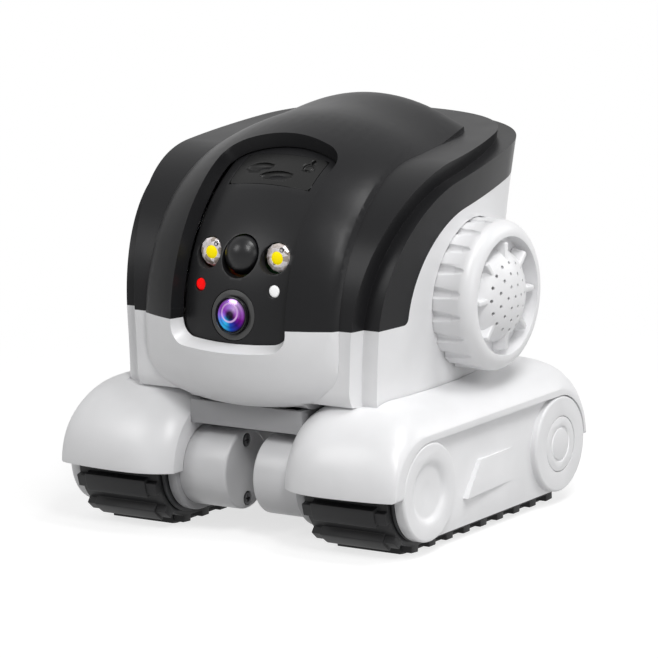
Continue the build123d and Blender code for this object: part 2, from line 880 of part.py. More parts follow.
with BuildPart() as motor_barrel:
    with BuildSketch(turning_plane(front_axle, axle_height)):
        with BuildLine():
            Polyline(
                (barrel_end, 0), (barrel_end, barrel_radius), (frame_in, barrel_radius),
                (frame_in, barrel_radius - barrel_wall),
                (barrel_end + barrel_face, barrel_radius - barrel_wall),
                (barrel_end + barrel_face, 0),
                close=True,
            )
        make_face()
    revolve(axis=cross_axis(front_axle, axle_height))
    fillet(edges().group_by(Axis.X)[0], barrel_edge)
    with BuildSketch(Plane.YZ.offset(barrel_end)):
        with Locations(*barrel_screw_places):
            Circle(screw_radius + screw_clearance)
    extrude(amount=barrel_face, mode=Mode.SUBTRACT)
    with BuildSketch(Plane.YZ.offset(barrel_end)):
        with Locations(*barrel_screw_places):
            Circle(screw_head_radius + screw_clearance / 2)
    extrude(amount=screw_head_height, mode=Mode.SUBTRACT)
save_pair(motor_barrel.part, "motor_barrel")

with BuildPart() as drive_motor:
    with BuildSketch(Plane.YZ.offset(barrel_end + barrel_face)):
        with Locations((front_axle, axle_height)):
            Circle(motor_can_radius)
    extrude(amount=motor_case_start - barrel_end - barrel_face)
    with BuildSketch(Plane.YZ.offset(motor_case_start)):
        with Locations((front_axle, axle_height)):
            Circle(motor_case_radius)
    extrude(amount=frame_in - motor_case_start)
    with BuildSketch(Plane.YZ.offset(motor_case_start)):
        with Locations(*barrel_screw_places):
            Circle(screw_radius + running_gap)
    extrude(amount=screw_grip + screw_tip_gap, mode=Mode.SUBTRACT)
    with BuildSketch(Plane.YZ.offset(motor_shaft_start)):
        with Locations((front_axle, axle_height)):
            Circle(axle_radius + running_gap)
    extrude(amount=frame_in - motor_shaft_start, mode=Mode.SUBTRACT)
save_pair(drive_motor.part, "drive_motor")

with BuildPart() as barrel_screws:
    with BuildSketch(Plane.YZ.offset(barrel_end)):
        with Locations(*barrel_screw_places):
            Circle(screw_head_radius)
    extrude(amount=screw_head_height)
    with BuildSketch(Plane.YZ.offset(barrel_end)):
        with Locations(*barrel_screw_places):
            Circle(screw_radius)
    extrude(amount=motor_case_start + screw_grip - barrel_end)
    with BuildSketch(Plane.YZ.offset(barrel_end)):
        with Locations(*barrel_screw_places):
            Rectangle(2 * screw_slot_reach, screw_slot_width)
            Rectangle(screw_slot_width, 2 * screw_slot_reach)
    extrude(amount=screw_slot_depth, mode=Mode.SUBTRACT)
    mirror(about=Plane.YZ)
barrel_screws.part.label = "barrel_screws"
export_step(barrel_screws.part, "parts/barrel_screws.step")

# Ears: grooved ring, grille with fins, and the speaker behind it
dish_floor = pod_outer - ear_dish_depth

with BuildPart() as ear_ring:
    with BuildSketch(turning_plane(ear_y, ear_z)):
        with BuildLine():
            rim = Polyline(
                (ear_seat, ear_bore), (ear_seat - ear_plug_depth, ear_bore),
                (ear_seat - ear_plug_depth, ear_plug_radius), (ear_seat, ear_plug_radius),
                (ear_seat, ear_radius), (pod_outer - ear_rounding, ear_radius),
            )
            CenterArc(
                (pod_outer - ear_rounding, ear_radius - ear_rounding), ear_rounding, 90, -90
            )
            Polyline(
                (pod_outer, ear_radius - ear_rounding), (pod_outer, ear_dish_radius),
                (dish_floor, ear_dish_radius), (dish_floor, speaker_mouth),
                (dish_floor - ear_floor, speaker_mouth), (dish_floor - ear_floor, ear_bore),
                rim @ 0,
            )
        make_face()
    revolve(axis=cross_axis(ear_y, ear_z))
    for index in range(ear_grooves):
        turn = radians(360 * (index + 0.5) / ear_grooves)
        centre = (ear_y + groove_circle * cos(turn), ear_z + groove_circle * sin(turn))
        with BuildSketch(Plane.YZ.offset(ear_seat)):
            with Locations(centre):
                Circle(groove_radius)
        extrude(amount=groove_end - groove_radius - ear_seat, mode=Mode.SUBTRACT)
        with Locations((groove_end - groove_radius, *centre)):
            Sphere(groove_radius, mode=Mode.SUBTRACT)
save_pair(ear_ring.part, "ear_ring")

with BuildPart() as ear_grille:
    dome_sphere = (dome_radius**2 + dome_height**2) / (2 * dome_height)
    dome_centre = dish_floor + dome_height - dome_sphere
    inner_sphere = dome_sphere - grille_wall
    with BuildSketch(turning_plane(ear_y, ear_z)):
        with BuildLine():
            outer_turn = degrees(acos((dish_floor - dome_centre) / dome_sphere))
            inner_turn = degrees(acos((dish_floor - dome_centre) / inner_sphere))
            outer_arc = CenterArc((dome_centre, 0), dome_sphere, 0, outer_turn)
            inner_arc = CenterArc((dome_centre, 0), inner_sphere, 0, inner_turn)
            Line(outer_arc @ 0, inner_arc @ 0)
            Line(outer_arc @ 1, inner_arc @ 1)
        make_face()
    revolve(axis=cross_axis(ear_y, ear_z))
    for index in range(fin_count):
        turn = 360 * index / fin_count
        with BuildSketch(Plane.YZ.offset(dish_floor)):
            with Locations(Location((ear_y, ear_z), turn)):
                Polygon(
                    (fin_start, -fin_root / 2), (fin_reach, -fin_tip / 2),
                    (fin_reach, fin_tip / 2), (fin_start, fin_root / 2),
                    align=None,
                )
            fillet(vertices(), fin_rounding)
        extrude(amount=fin_height)
    with BuildSketch(Plane.YZ.offset(dish_floor)):
        for ring in range(grille_rings):
            with Locations((ear_y, ear_z)):
                with PolarLocations(ring * grille_pitch, max(1, holes_per_ring * ring)):
                    Circle(grille_hole)
    extrude(amount=dome_height + grille_wall, mode=Mode.SUBTRACT)
save_pair(ear_grille.part, "ear_grille")

with BuildPart() as speaker:
    with BuildSketch(Plane.YZ.offset(dish_floor - ear_floor - speaker_depth)):
        with Locations((ear_y, ear_z)):
            Circle(speaker_radius)
    extrude(amount=speaker_depth)
    cone_sphere = (speaker_cone**2 + speaker_dip**2) / (2 * speaker_dip)
    with Locations((dish_floor - ear_floor + cone_sphere - speaker_dip, ear_y, ear_z)):
        Sphere(cone_sphere, mode=Mode.SUBTRACT)
save_pair(speaker.part, "speaker")

# Camera drum: curved face, optics, cover and tilt gear turn together
hinge_x = drum_half_width + gear_width

with BuildPart() as face_drum:
    with BuildSketch(station_plane(drum_low)):
        with BuildLine():
            face_arcs(0, drum_half_width, drum_wall)
        make_face()
        for side in (-1, 1):
            with Locations((side * (drum_half_width - cheek / 2), cheek_reach / 2)):
                Rectangle(cheek, cheek_reach)
    revolve(axis=tilt_axis, revolution_arc=drum_high - drum_low)
    for side in (-1, 1):
        with BuildSketch(Plane.YZ.offset(side * (drum_half_width - cheek))):
            with Locations((tilt_y, tilt_z)):
                Circle(hub_radius)
        extrude(amount=side * cheek)
        with BuildSketch(Plane.YZ.offset(side * drum_half_width)):
            with Locations((tilt_y, tilt_z)):
                Circle(pivot_radius)
        extrude(amount=side * (pivot_end - drum_half_width))
        with BuildSketch(Plane.YZ.offset(side * (drum_half_width - cheek))):
            with Locations((tilt_y - cheek_hole_reach, tilt_z + cheek_hole_reach)):
                Circle(cheek_hole)
        extrude(amount=side * cheek, mode=Mode.SUBTRACT)
    with BuildSketch(panel_plane(lens_angle, drum_radius + drum_wall)):
        Circle(lens_ring_radius + optic_gap)
    extrude(amount=-3 * drum_wall, mode=Mode.SUBTRACT)
    for angle, x, radius in (
        (light_angle, 0, pir_radius),
        (light_angle, light_x, light_radius),
        (light_angle, -light_x, light_radius),
        (dot_angle, dot_x, dot_radius),
        (dot_angle, -dot_x, dot_radius),
    ):
        with BuildSketch(level_plane(angle, optic_board_depth + board_thickness, x)):
            Circle(radius + optic_gap)
        extrude(amount=drum_radius - optic_board_depth, mode=Mode.SUBTRACT)
    with BuildSketch(station_plane(cover_angle)):
        with BuildLine():
            face_arcs(cover_depth, cover_width / 2 + cover_gap, 2 * cover_depth)
        make_face()
    cover_half = degrees((cover_height / 2 + cover_gap) / drum_radius)
    revolve(axis=tilt_axis, revolution_arc=cover_half, mode=Mode.SUBTRACT)
    with BuildSketch(station_plane(cover_angle)):
        with BuildLine():
            face_arcs(cover_depth, cover_width / 2 + cover_gap, 2 * cover_depth)
        make_face()
    revolve(axis=tilt_axis, revolution_arc=-cover_half, mode=Mode.SUBTRACT)
face_drum.part.label = "face_drum"
export_step(face_drum.part, "parts/face_drum.step")

with BuildPart() as card_cover:
    with BuildSketch(station_plane(cover_angle - cover_half)):
        with BuildLine():
            face_arcs(0, cover_width / 2, cover_depth)
        make_face()
    revolve(axis=tilt_axis, revolution_arc=2 * cover_half)
    with BuildSketch(panel_plane(cover_angle, drum_radius - 2 * drum_wall)):
        RectangleRounded(cover_width, cover_height, cover_corner)
    extrude(amount=4 * drum_wall, mode=Mode.INTERSECT)
    with BuildSketch(panel_plane(cover_angle, drum_radius + cover_depth)):
        for x, rise, length in crescents:
            with Locations((x, rise)):
                SlotOverall(length, crescent_width)
        with Locations((keyhole_x, keyhole_rise)):
            Circle(keyhole_radius)
            Circle(keyhole_radius - crescent_width / 2, mode=Mode.SUBTRACT)
    extrude(amount=-cover_depth - crescent_depth, mode=Mode.SUBTRACT)
card_cover.part.label = "card_cover"
export_step(card_cover.part, "parts/card_cover.step")

with BuildPart() as behind_board:
    with BuildSketch(level_plane(board_angle, optic_board_depth + board_thickness)):
        Rectangle(beyond, beyond)
    extrude(amount=-beyond)

with BuildPart() as camera_board:
    with BuildSketch(level_plane(board_angle, optic_board_depth)):
        Rectangle(2 * (drum_half_width - cheek), optic_board_height)
    extrude(amount=board_thickness)
camera_board.part.label = "camera_board"
export_step(camera_board.part, "parts/camera_board.step")


def dome_cap(base, radius, rise):
    """Solid cap standing on a plane."""
    sphere = (radius**2 + rise**2) / (2 * rise)
    with BuildPart() as cap:
        with BuildSketch(base):
            Circle(radius)
        extrude(amount=rise)
        with Locations(base.offset(rise - sphere)):
            Sphere(sphere, mode=Mode.INTERSECT)
    return cap.part


with BuildPart() as lens_ring:
    with BuildSketch(panel_plane(lens_angle, lens_front)):
        Circle(lens_ring_radius)
    extrude(amount=-optic_depth)
    with BuildSketch(panel_plane(lens_angle, lens_front)):
        Circle(lens_radius + optic_gap)
    extrude(amount=-lens_seat, mode=Mode.SUBTRACT)
save_piece(lens_ring.part, "lens_ring")

with BuildPart() as camera_lens:
    with BuildSketch(panel_plane(lens_angle, lens_front + lens_stand)):
        Circle(lens_radius)
    extrude(amount=-lens_stand - lens_seat)
    add(dome_cap(panel_plane(lens_angle, lens_front + lens_stand), lens_radius, lens_rise))
save_piece(camera_lens.part, "camera_lens")

with BuildPart() as lens_barrel:
    with BuildSketch(panel_plane(lens_angle, lens_front - optic_depth)):
        Circle(lens_radius)
    extrude(amount=-optic_reach)
    add(behind_board.part, mode=Mode.SUBTRACT)
save_piece(lens_barrel.part, "lens_barrel")

with BuildPart() as pir_dome:
    with BuildSketch(level_plane(light_angle, pir_front)):
        Circle(pir_radius)
    extrude(amount=-optic_reach)
    add(dome_cap(level_plane(light_angle, pir_front), pir_radius, pir_rise))
    add(behind_board.part, mode=Mode.SUBTRACT)
save_piece(pir_dome.part, "pir_dome")

for side, name in ((-1, "left_light_lens"), (1, "right_light_lens")):
    with BuildPart() as light_lens:
        with BuildSketch(level_plane(light_angle, light_front, side * light_x)):
            Circle(light_radius)
        extrude(amount=-optic_depth)
        lamp_plane = level_plane(light_angle, light_front, side * light_x)
        add(dome_cap(lamp_plane, light_radius, light_dome))
        with BuildSketch(level_plane(light_angle, light_front - optic_depth, side * light_x)):
            Circle(chip_radius + optic_gap)
        extrude(amount=optic_depth - chip_collar, mode=Mode.SUBTRACT)
    save_piece(light_lens.part, name)

with BuildPart() as light_chips:
    for side in (-1, 1):
        with BuildSketch(level_plane(light_angle, light_front - chip_depth, side * light_x)):
            Circle(chip_radius)
        extrude(amount=-optic_reach)
        with BuildSketch(level_plane(light_angle, light_front - optic_depth, side * light_x)):
            Circle(light_radius - chip_collar_gap)
        extrude(amount=-chip_collar)
    add(behind_board.part, mode=Mode.SUBTRACT)
save_piece(light_chips.part, "light_chips")

for side, name in ((-1, "red_indicator"), (1, "light_sensor")):
    with BuildPart() as light_pipe:
        with BuildSketch(level_plane(dot_angle, dot_front, side * dot_x)):
            Circle(dot_radius)
        extrude(amount=-optic_reach)
        add(behind_board.part, mode=Mode.SUBTRACT)
    save_piece(light_pipe.part, name)


def gear_tooth(teeth, centre, angle):
    """One involute tooth pointing along angle, in the Y-Z plane."""
    pitch = gear_module * teeth / 2
    base = pitch * cos(radians(pressure_angle))
    tip = pitch + gear_addendum * gear_module
    root = pitch - gear_dedendum * gear_module - gear_overlap
    pitch_involute = tan(radians(pressure_angle)) - radians(pressure_angle)
    half_pitch = pi / (2 * teeth) - gear_backlash / (2 * pitch)
    flank = [(root, half_pitch + pitch_involute)]
    for step in range(flank_steps + 1):
        r = max(base, root) + (tip - max(base, root)) * step / flank_steps
        turn = acos(min(1, base / r))
        flank.append((r, half_pitch + pitch_involute - (tan(turn) - turn)))
    points = []
    for sign, run in ((-1, flank), (1, reversed(flank))):
        for r, turn in run:
            a = radians(angle) + sign * turn
            points.append((centre[0] + r * cos(a), centre[1] + r * sin(a)))
    return points


gear_pitch = gear_module * gear_teeth / 2
pinion_pitch = gear_module * pinion_teeth / 2
gear_root = gear_pitch - gear_dedendum * gear_module
pinion_root = pinion_pitch - gear_dedendum * gear_module
pinion_centre = (tilt_y - gear_pitch - pinion_pitch, tilt_z)
sector_teeth = int(gear_sector * gear_teeth / 360)

with BuildPart() as tilt_gear:
    with BuildSketch(Plane.YZ.offset(-hinge_x)):
        with BuildLine():
            sector = CenterArc((tilt_y, tilt_z), gear_root, 180 - gear_sector, 2 * gear_sector)
            Line(sector @ 0, (tilt_y, tilt_z))
            Line(sector @ 1, (tilt_y, tilt_z))
        make_face()
        with Locations((tilt_y, tilt_z)):
            Circle(hub_radius)
        for index in range(-sector_teeth, sector_teeth + 1):
            with BuildLine():
                angle = 180 + index * 360 / gear_teeth
                Polyline(*gear_tooth(gear_teeth, (tilt_y, tilt_z), angle), close=True)
            make_face()
        with Locations((tilt_y, tilt_z)):
            Circle(pivot_radius + running_gap, mode=Mode.SUBTRACT)
    extrude(amount=gear_width)
save_piece(tilt_gear.part, "tilt_gear")

with BuildPart() as tilt_pinion:
    with BuildSketch(Plane.YZ.offset(-hinge_x)):
        with Locations(pinion_centre):
            Circle(pinion_root)
        for index in range(pinion_teeth):
            with BuildLine():
                angle = (index + 0.5) * 360 / pinion_teeth
                Polyline(*gear_tooth(pinion_teeth, pinion_centre, angle), close=True)
            make_face()
    extrude(amount=gear_width - pinion_gap)
    with BuildSketch(Plane.YZ.offset(-hinge_x)):
        with Locations(pinion_centre):
            Circle(pinion_shaft_radius)
    extrude(amount=-(bracket_in + bracket_thickness + pinion_shaft_grip - hinge_x))
save_piece(tilt_pinion.part, "tilt_pinion")


def tilt_bracket(side):
    """Upright on the head floor with the bearing bore of the drum."""
    with BuildPart() as bracket:
        with BuildSketch(Plane.YZ.offset(side * bracket_in)):
            with Locations((tilt_y, (tilt_z + seat_height + wall) / 2)):
                Rectangle(bracket_foot, tilt_z - seat_height - wall)
            with Locations((tilt_y, tilt_z)):
                Circle(bracket_foot / 2)
            if side < 0:
                with Locations(((tilt_y + pinion_centre[0]) / 2, tilt_z)):
                    SlotCenterToCenter(gear_pitch + pinion_pitch, 2 * bracket_head)
                with Locations(pinion_centre):
                    Circle(pinion_shaft_radius + shaft_clearance, mode=Mode.SUBTRACT)
            with Locations((tilt_y, tilt_z)):
                Circle(pivot_radius + running_gap, mode=Mode.SUBTRACT)
        extrude(amount=side * bracket_thickness)
    return bracket.part


save_piece(tilt_bracket(-1), "left_tilt_bracket")
save_piece(tilt_bracket(1), "right_tilt_bracket")

with BuildPart() as tilt_motor:
    with BuildSketch(Plane.YZ.offset(-bracket_in - bracket_thickness)):
        with Locations(pinion_centre):
            Circle(tilt_motor_radius)
    extrude(amount=-tilt_motor_length)
    with BuildSketch(Plane.YZ.offset(-bracket_in - bracket_thickness)):
        with Locations(pinion_centre):
            Circle(pinion_shaft_radius + running_gap)
    extrude(amount=-pinion_shaft_grip - shaft_clearance, mode=Mode.SUBTRACT)
save_piece(tilt_motor.part, "tilt_motor")

# Battery, board, charge port and power button
with BuildPart() as battery_pack:
    with BuildSketch(Plane.YZ.offset(-cell_length / 2)):
        with Locations(*[(cell_y, height) for height in cell_heights]):
            Circle(cell_radius)
    extrude(amount=cell_length)
    for side in (-1, 1):
        with Locations((side * cradle_x, cell_y, seat_height + wall)):
            Box(
                cradle_length, cradle_width, cell_heights[1] - seat_height - wall,
                align=(Align.CENTER, Align.CENTER, Align.MIN),
            )
save_piece(battery_pack.part, "battery_pack")

with BuildPart() as main_board:
    with BuildSketch(Plane.XZ.offset(-board_y)):
        with Locations((0, board_centre)):
            Rectangle(board_width, board_height)
    extrude(amount=-board_thickness)
save_piece(main_board.part, "main_board")

with BuildPart() as charge_port:
    with BuildSketch(Plane.XZ.offset(-(board_y + board_thickness))):
        with Locations((port_x, port_z)):
            RectangleRounded(port_width, port_height, port_rounding)
    extrude(amount=-(port_end - board_y - board_thickness))
    with BuildSketch(Plane.XZ.offset(-(board_y + board_thickness + port_wall))):
        with Locations((port_x, port_z)):
            RectangleRounded(
                port_width - 2 * port_wall, port_height - 2 * port_wall,
                port_rounding - port_wall,
            )
    extrude(amount=-beyond, mode=Mode.SUBTRACT)
    with BuildSketch(Plane.XZ.offset(-(board_y + board_thickness))):
        with Locations((port_x, port_z)):
            Rectangle(port_tongue[0], port_tongue[1])
    extrude(amount=-port_tongue[2])
save_piece(charge_port.part, "charge_port")

with BuildPart() as power_button:
    with BuildSketch(Plane.XZ.offset(-button_start)):
        with Locations((button_x, port_z)):
            Circle(button_radius + button_flange)
    extrude(amount=-button_flange)
    with BuildSketch(Plane.XZ.offset(-button_start)):
        with Locations((button_x, port_z)):
            Circle(button_radius)
    extrude(amount=-(button_end - button_start))
    fillet(edges().group_by(Axis.Y)[-1], button_edge)
save_piece(power_button.part, "power_button")
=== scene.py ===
from math import atan2, cos, pi, radians, sin, sqrt

import bpy
from mathutils import Matrix, Vector


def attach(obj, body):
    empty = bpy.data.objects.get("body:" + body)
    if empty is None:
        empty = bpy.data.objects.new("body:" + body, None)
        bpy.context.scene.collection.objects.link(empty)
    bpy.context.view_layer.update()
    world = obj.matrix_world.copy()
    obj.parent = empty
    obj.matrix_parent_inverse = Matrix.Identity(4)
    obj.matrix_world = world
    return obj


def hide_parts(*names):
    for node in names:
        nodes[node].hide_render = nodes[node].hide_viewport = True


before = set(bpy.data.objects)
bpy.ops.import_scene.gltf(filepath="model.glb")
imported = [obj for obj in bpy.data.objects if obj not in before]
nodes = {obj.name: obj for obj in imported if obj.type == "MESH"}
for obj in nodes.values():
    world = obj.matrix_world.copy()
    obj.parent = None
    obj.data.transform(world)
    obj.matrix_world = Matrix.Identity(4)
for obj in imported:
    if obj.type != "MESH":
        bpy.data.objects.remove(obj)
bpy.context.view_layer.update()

# Camera: it stands well back, in front of the robot and to the +X side, a little above its
# head, as in the photograph. The long lens gives the flat look of a product shot.
camera_place = Vector((0.69973, -1.10112, 0.30146))
focal_length = 252.97
turn = radians(32.425)
height = radians(10.794)
roll = radians(-0.6205)
back = Vector((sin(turn) * cos(height), -cos(turn) * cos(height), sin(height)))
level = Vector((cos(turn), sin(turn), 0))
upward = back.cross(level)
camera_right = cos(roll) * level + sin(roll) * upward
camera_up = -sin(roll) * level + cos(roll) * upward
camera_data = bpy.data.cameras.new("camera")
camera_data.lens = focal_length
camera_data.sensor_width = 36.0
camera_data.clip_end = 20.0
camera = bpy.data.objects.new("camera", camera_data)
bpy.context.scene.collection.objects.link(camera)
facing = Matrix((camera_right, camera_up, back)).transposed().to_4x4()
camera.matrix_world = Matrix.Translation(camera_place) @ facing
bpy.context.scene.camera = camera
bpy.context.scene.view_settings.view_transform = "Standard"

# Studio light: a pale tent all round, a broad lamp overhead, softer ones at the front, the
# side and the back, and a tall one at the right that draws highlights on the gloss head.
tent_strength = 0.2
middle = Vector((0, 0, 0.06))


def choose_for_sight(tree, lit, seen):
    """A shader that is one thing to diffuse light and another where it is seen directly, in
    a reflection or through glass."""
    path = tree.nodes.new("ShaderNodeLightPath")
    direct = tree.nodes.new("ShaderNodeMath")
    direct.operation = "MAXIMUM"
    any_sight = tree.nodes.new("ShaderNodeMath")
    any_sight.operation = "MAXIMUM"
    choose = tree.nodes.new("ShaderNodeMixShader")
    tree.links.new(path.outputs["Is Camera Ray"], direct.inputs[0])
    tree.links.new(path.outputs["Is Glossy Ray"], direct.inputs[1])
    tree.links.new(direct.outputs[0], any_sight.inputs[0])
    tree.links.new(path.outputs["Is Transmission Ray"], any_sight.inputs[1])
    tree.links.new(any_sight.outputs[0], choose.inputs["Fac"])
    tree.links.new(lit, choose.inputs[1])
    tree.links.new(seen, choose.inputs[2])
    return choose.outputs["Shader"]


world = bpy.data.worlds.new("studio")
bpy.context.scene.world = world
world.use_nodes = True
tree = world.node_tree
tent = tree.nodes["Background"]
tent.inputs["Color"].default_value = (1, 1, 1, 1)
tent.inputs["Strength"].default_value = tent_strength
white = tree.nodes.new("ShaderNodeBackground")
white.inputs["Strength"].default_value = 1.0
studio = choose_for_sight(tree, tent.outputs["Background"], white.outputs["Background"])
tree.links.new(studio, tree.nodes["World Output"].inputs["Surface"])


def add_lamp(name, place, size, power):
    """A rectangular lamp, in metres and watts, that is aimed at the middle of the robot."""
    data = bpy.data.lights.new(name, "AREA")
    data.shape = "RECTANGLE"
    data.size, data.size_y = size
    data.energy = power
    lamp = bpy.data.objects.new(name, data)
    bpy.context.scene.collection.objects.link(lamp)
    lamp.location = place
    lamp.rotation_mode = "QUATERNION"
    lamp.rotation_quaternion = (middle - Vector(place)).to_track_quat("-Z", "Y")


add_lamp("top_lamp", (0.35, 0.0, 0.8), (0.3, 0.3), 2.9)
add_lamp("key_lamp", (-0.4, -0.65, 0.6), (0.35, 0.35), 1.9)
add_lamp("glint_lamp", (0.44, -0.46, 0.7), (0.16, 0.36), 3.0)
add_lamp("side_lamp", (0.9, -0.1, 0.24), (0.3, 0.4), 1.2)
add_lamp("back_lamp", (0.6, 0.75, 0.45), (0.4, 0.4), 1.5)

# Floor: matt white paper. Near the robot it takes its shadow, and further off it fades into
# the plain white of the picture.
floor_width = 8.0
paper_grey = 0.45
paper_lift = 0.68
fade_scale = 3.4


def new_material(name):
    """A material with its node tree and its main shader."""
    material = bpy.data.materials.new(name)
    material.use_nodes = True
    return material, material.node_tree, material.node_tree.nodes["Principled BSDF"]


bpy.ops.object.select_all(action="DESELECT")
bpy.ops.mesh.primitive_plane_add(size=floor_width, location=(0, 0, 0))
floor = bpy.context.object
floor.name = "studio_floor"
paper, tree, sheet = new_material("white_paper")
sheet.inputs["Base Color"].default_value = (paper_grey, paper_grey, paper_grey, 1)
sheet.inputs["Roughness"].default_value = 0.9
sheet.inputs["Specular IOR Level"].default_value = 0.0
lift = tree.nodes.new("ShaderNodeEmission")
lift.inputs["Strength"].default_value = paper_lift
lifted = tree.nodes.new("ShaderNodeAddShader")
bright = tree.nodes.new("ShaderNodeEmission")
bright.inputs["Strength"].default_value = 1.0
place = tree.nodes.new("ShaderNodeTexCoord")
spread = tree.nodes.new("ShaderNodeMapping")
spread.inputs["Scale"].default_value = (fade_scale, fade_scale, fade_scale)
fade = tree.nodes.new("ShaderNodeTexGradient")
fade.gradient_type = "SPHERICAL"
near = tree.nodes.new("ShaderNodeMixShader")
tree.links.new(place.outputs["Object"], spread.inputs["Vector"])
tree.links.new(spread.outputs["Vector"], fade.inputs["Vector"])
tree.links.new(sheet.outputs["BSDF"], lifted.inputs[0])
tree.links.new(lift.outputs["Emission"], lifted.inputs[1])
tree.links.new(fade.outputs["Color"], near.inputs["Fac"])
tree.links.new(bright.outputs["Emission"], near.inputs[1])
tree.links.new(lifted.outputs["Shader"], near.inputs[2])
ground = choose_for_sight(tree, sheet.outputs["BSDF"], near.outputs["Shader"])
tree.links.new(ground, tree.nodes["Material Output"].inputs["Surface"])
floor.data.materials.append(paper)

# Tracks: one moulded rubber belt on each side, with broad lugs that stand on the floor and
# a thinner tab at each end of every lug. The rubber is matt, with a fine pitted skin.
weld_distance = 0.000002
flat_angle = radians(0.4)
smooth_angle = radians(35)


def select_only(piece):
    """Make a piece the one that the next operators work on."""
    bpy.ops.object.select_all(action="DESELECT")
    piece.select_set(True)
    bpy.context.view_layer.objects.active = piece


def finish_moulding(node, name, edge, steps=2, sharp=30.0, flatten=True):
    """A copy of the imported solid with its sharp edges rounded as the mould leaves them."""
    piece = nodes[node].copy()
    piece.data = nodes[node].data.copy()
    piece.name = name
    piece.parent = None
    for mark in [key for key in piece.keys() if key.startswith("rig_")]:
        del piece[mark]
    bpy.context.scene.collection.objects.link(piece)
    piece.hide_render = False
    select_only(piece)
    bpy.ops.object.mode_set(mode="EDIT")
    bpy.ops.mesh.select_all(action="SELECT")
    bpy.ops.mesh.remove_doubles(threshold=weld_distance)
    if flatten:
        bpy.ops.mesh.dissolve_limited(angle_limit=flat_angle)
    bpy.ops.object.mode_set(mode="OBJECT")
    if edge:
        rounding = piece.modifiers.new("rounding", "BEVEL")
        rounding.width = edge
        rounding.segments = steps
        rounding.limit_method = "ANGLE"
        rounding.angle_limit = radians(sharp)
        rounding.use_clamp_overlap = True
        bpy.ops.object.modifier_apply(modifier=rounding.name)
    bpy.ops.object.shade_smooth_by_angle(angle=smooth_angle)
    return piece


def colour_ramp(tree, stops):
    """A ramp through the stops, each a place from 0 to 1 and a colour, in rising order."""
    ramp = tree.nodes.new("ShaderNodeValToRGB")
    elements = ramp.color_ramp.elements
    for element, (spot, colour) in ((elements[0], stops[0]), (elements[1], stops[-1])):
        element.position = spot
        element.color = (*colour, 1)
    for spot, colour in stops[1:-1]:
        elements.new(spot).color = (*colour, 1)
    return ramp


def moulded_finish(name, colour, roughness, grain, depth, level=0.5):
    """Plastic or rubber from a mould: faint clouds of tone and sheen over a fine grained skin."""
    material, tree, shader = new_material(name)
    shader.inputs["Specular IOR Level"].default_value = level
    place = tree.nodes.new("ShaderNodeTexCoord")
    clouds = tree.nodes.new("ShaderNodeTexNoise")
    clouds.inputs["Scale"].default_value = 45.0
    clouds.inputs["Detail"].default_value = 3.0
    darker = [part * 0.95 for part in colour]
    paler = [min(1.0, part * 1.03) for part in colour]
    tone = colour_ramp(tree, [(0.3, darker), (0.7, paler)])
    sheen = tree.nodes.new("ShaderNodeMapRange")
    sheen.inputs["From Min"].default_value = 0.3
    sheen.inputs["From Max"].default_value = 0.7
    sheen.inputs["To Min"].default_value = roughness * 0.9
    sheen.inputs["To Max"].default_value = min(1.0, roughness * 1.1)
    skin = tree.nodes.new("ShaderNodeTexNoise")
    skin.inputs["Scale"].default_value = 1 / grain
    skin.inputs["Detail"].default_value = 2.0
    relief = tree.nodes.new("ShaderNodeBump")
    relief.inputs["Strength"].default_value = 0.3
    relief.inputs["Distance"].default_value = depth
    tree.links.new(place.outputs["Object"], clouds.inputs["Vector"])
    tree.links.new(place.outputs["Object"], skin.inputs["Vector"])
    tree.links.new(clouds.outputs["Fac"], tone.inputs["Fac"])
    tree.links.new(tone.outputs["Color"], shader.inputs["Base Color"])
    tree.links.new(clouds.outputs["Fac"], sheen.inputs["Value"])
    tree.links.new(sheen.outputs["Result"], shader.inputs["Roughness"])
    tree.links.new(skin.outputs["Fac"], relief.inputs["Height"])
    tree.links.new(relief.outputs["Normal"], shader.inputs["Normal"])
    return material


def dress(piece, body, slot, material, *replaced):
    """Give a piece its finish, the body it rides on and the solids it stands for."""
    piece.data.materials.clear()
    piece.data.materials.append(material)
    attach(piece, body)
    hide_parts(*replaced)


def paint(material, *named):
    """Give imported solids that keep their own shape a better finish."""
    for name in named:
        for face_slot in nodes[name].material_slots:
            face_slot.material = material


rubber = moulded_finish(
    "track_rubber", (0.012, 0.012, 0.013), 0.5, 0.0004, 0.00003, level=0.3
)
for side in ("left", "right"):
    belt = finish_moulding(f"{side}_track", f"{side}_track_belt", 0.00035)
    dress(belt, "chassis", "track_rubber", rubber, f"{side}_track")

# Wheels inside the tracks, and the tilt gears: glass filled nylon, moulded nearly black. The
# shafts and axles are drawn steel rod.
nylon = moulded_finish("black_nylon", (0.05, 0.05, 0.053), 0.55, 0.0003, 0.00002)
paint(
    nylon, "left_drive_wheel", "right_drive_wheel", "left_idler_wheel", "right_idler_wheel",
    "tilt_gear", "tilt_pinion", "left_tilt_bracket", "right_tilt_bracket", "lens_barrel",
    "left_speaker", "right_speaker",
)


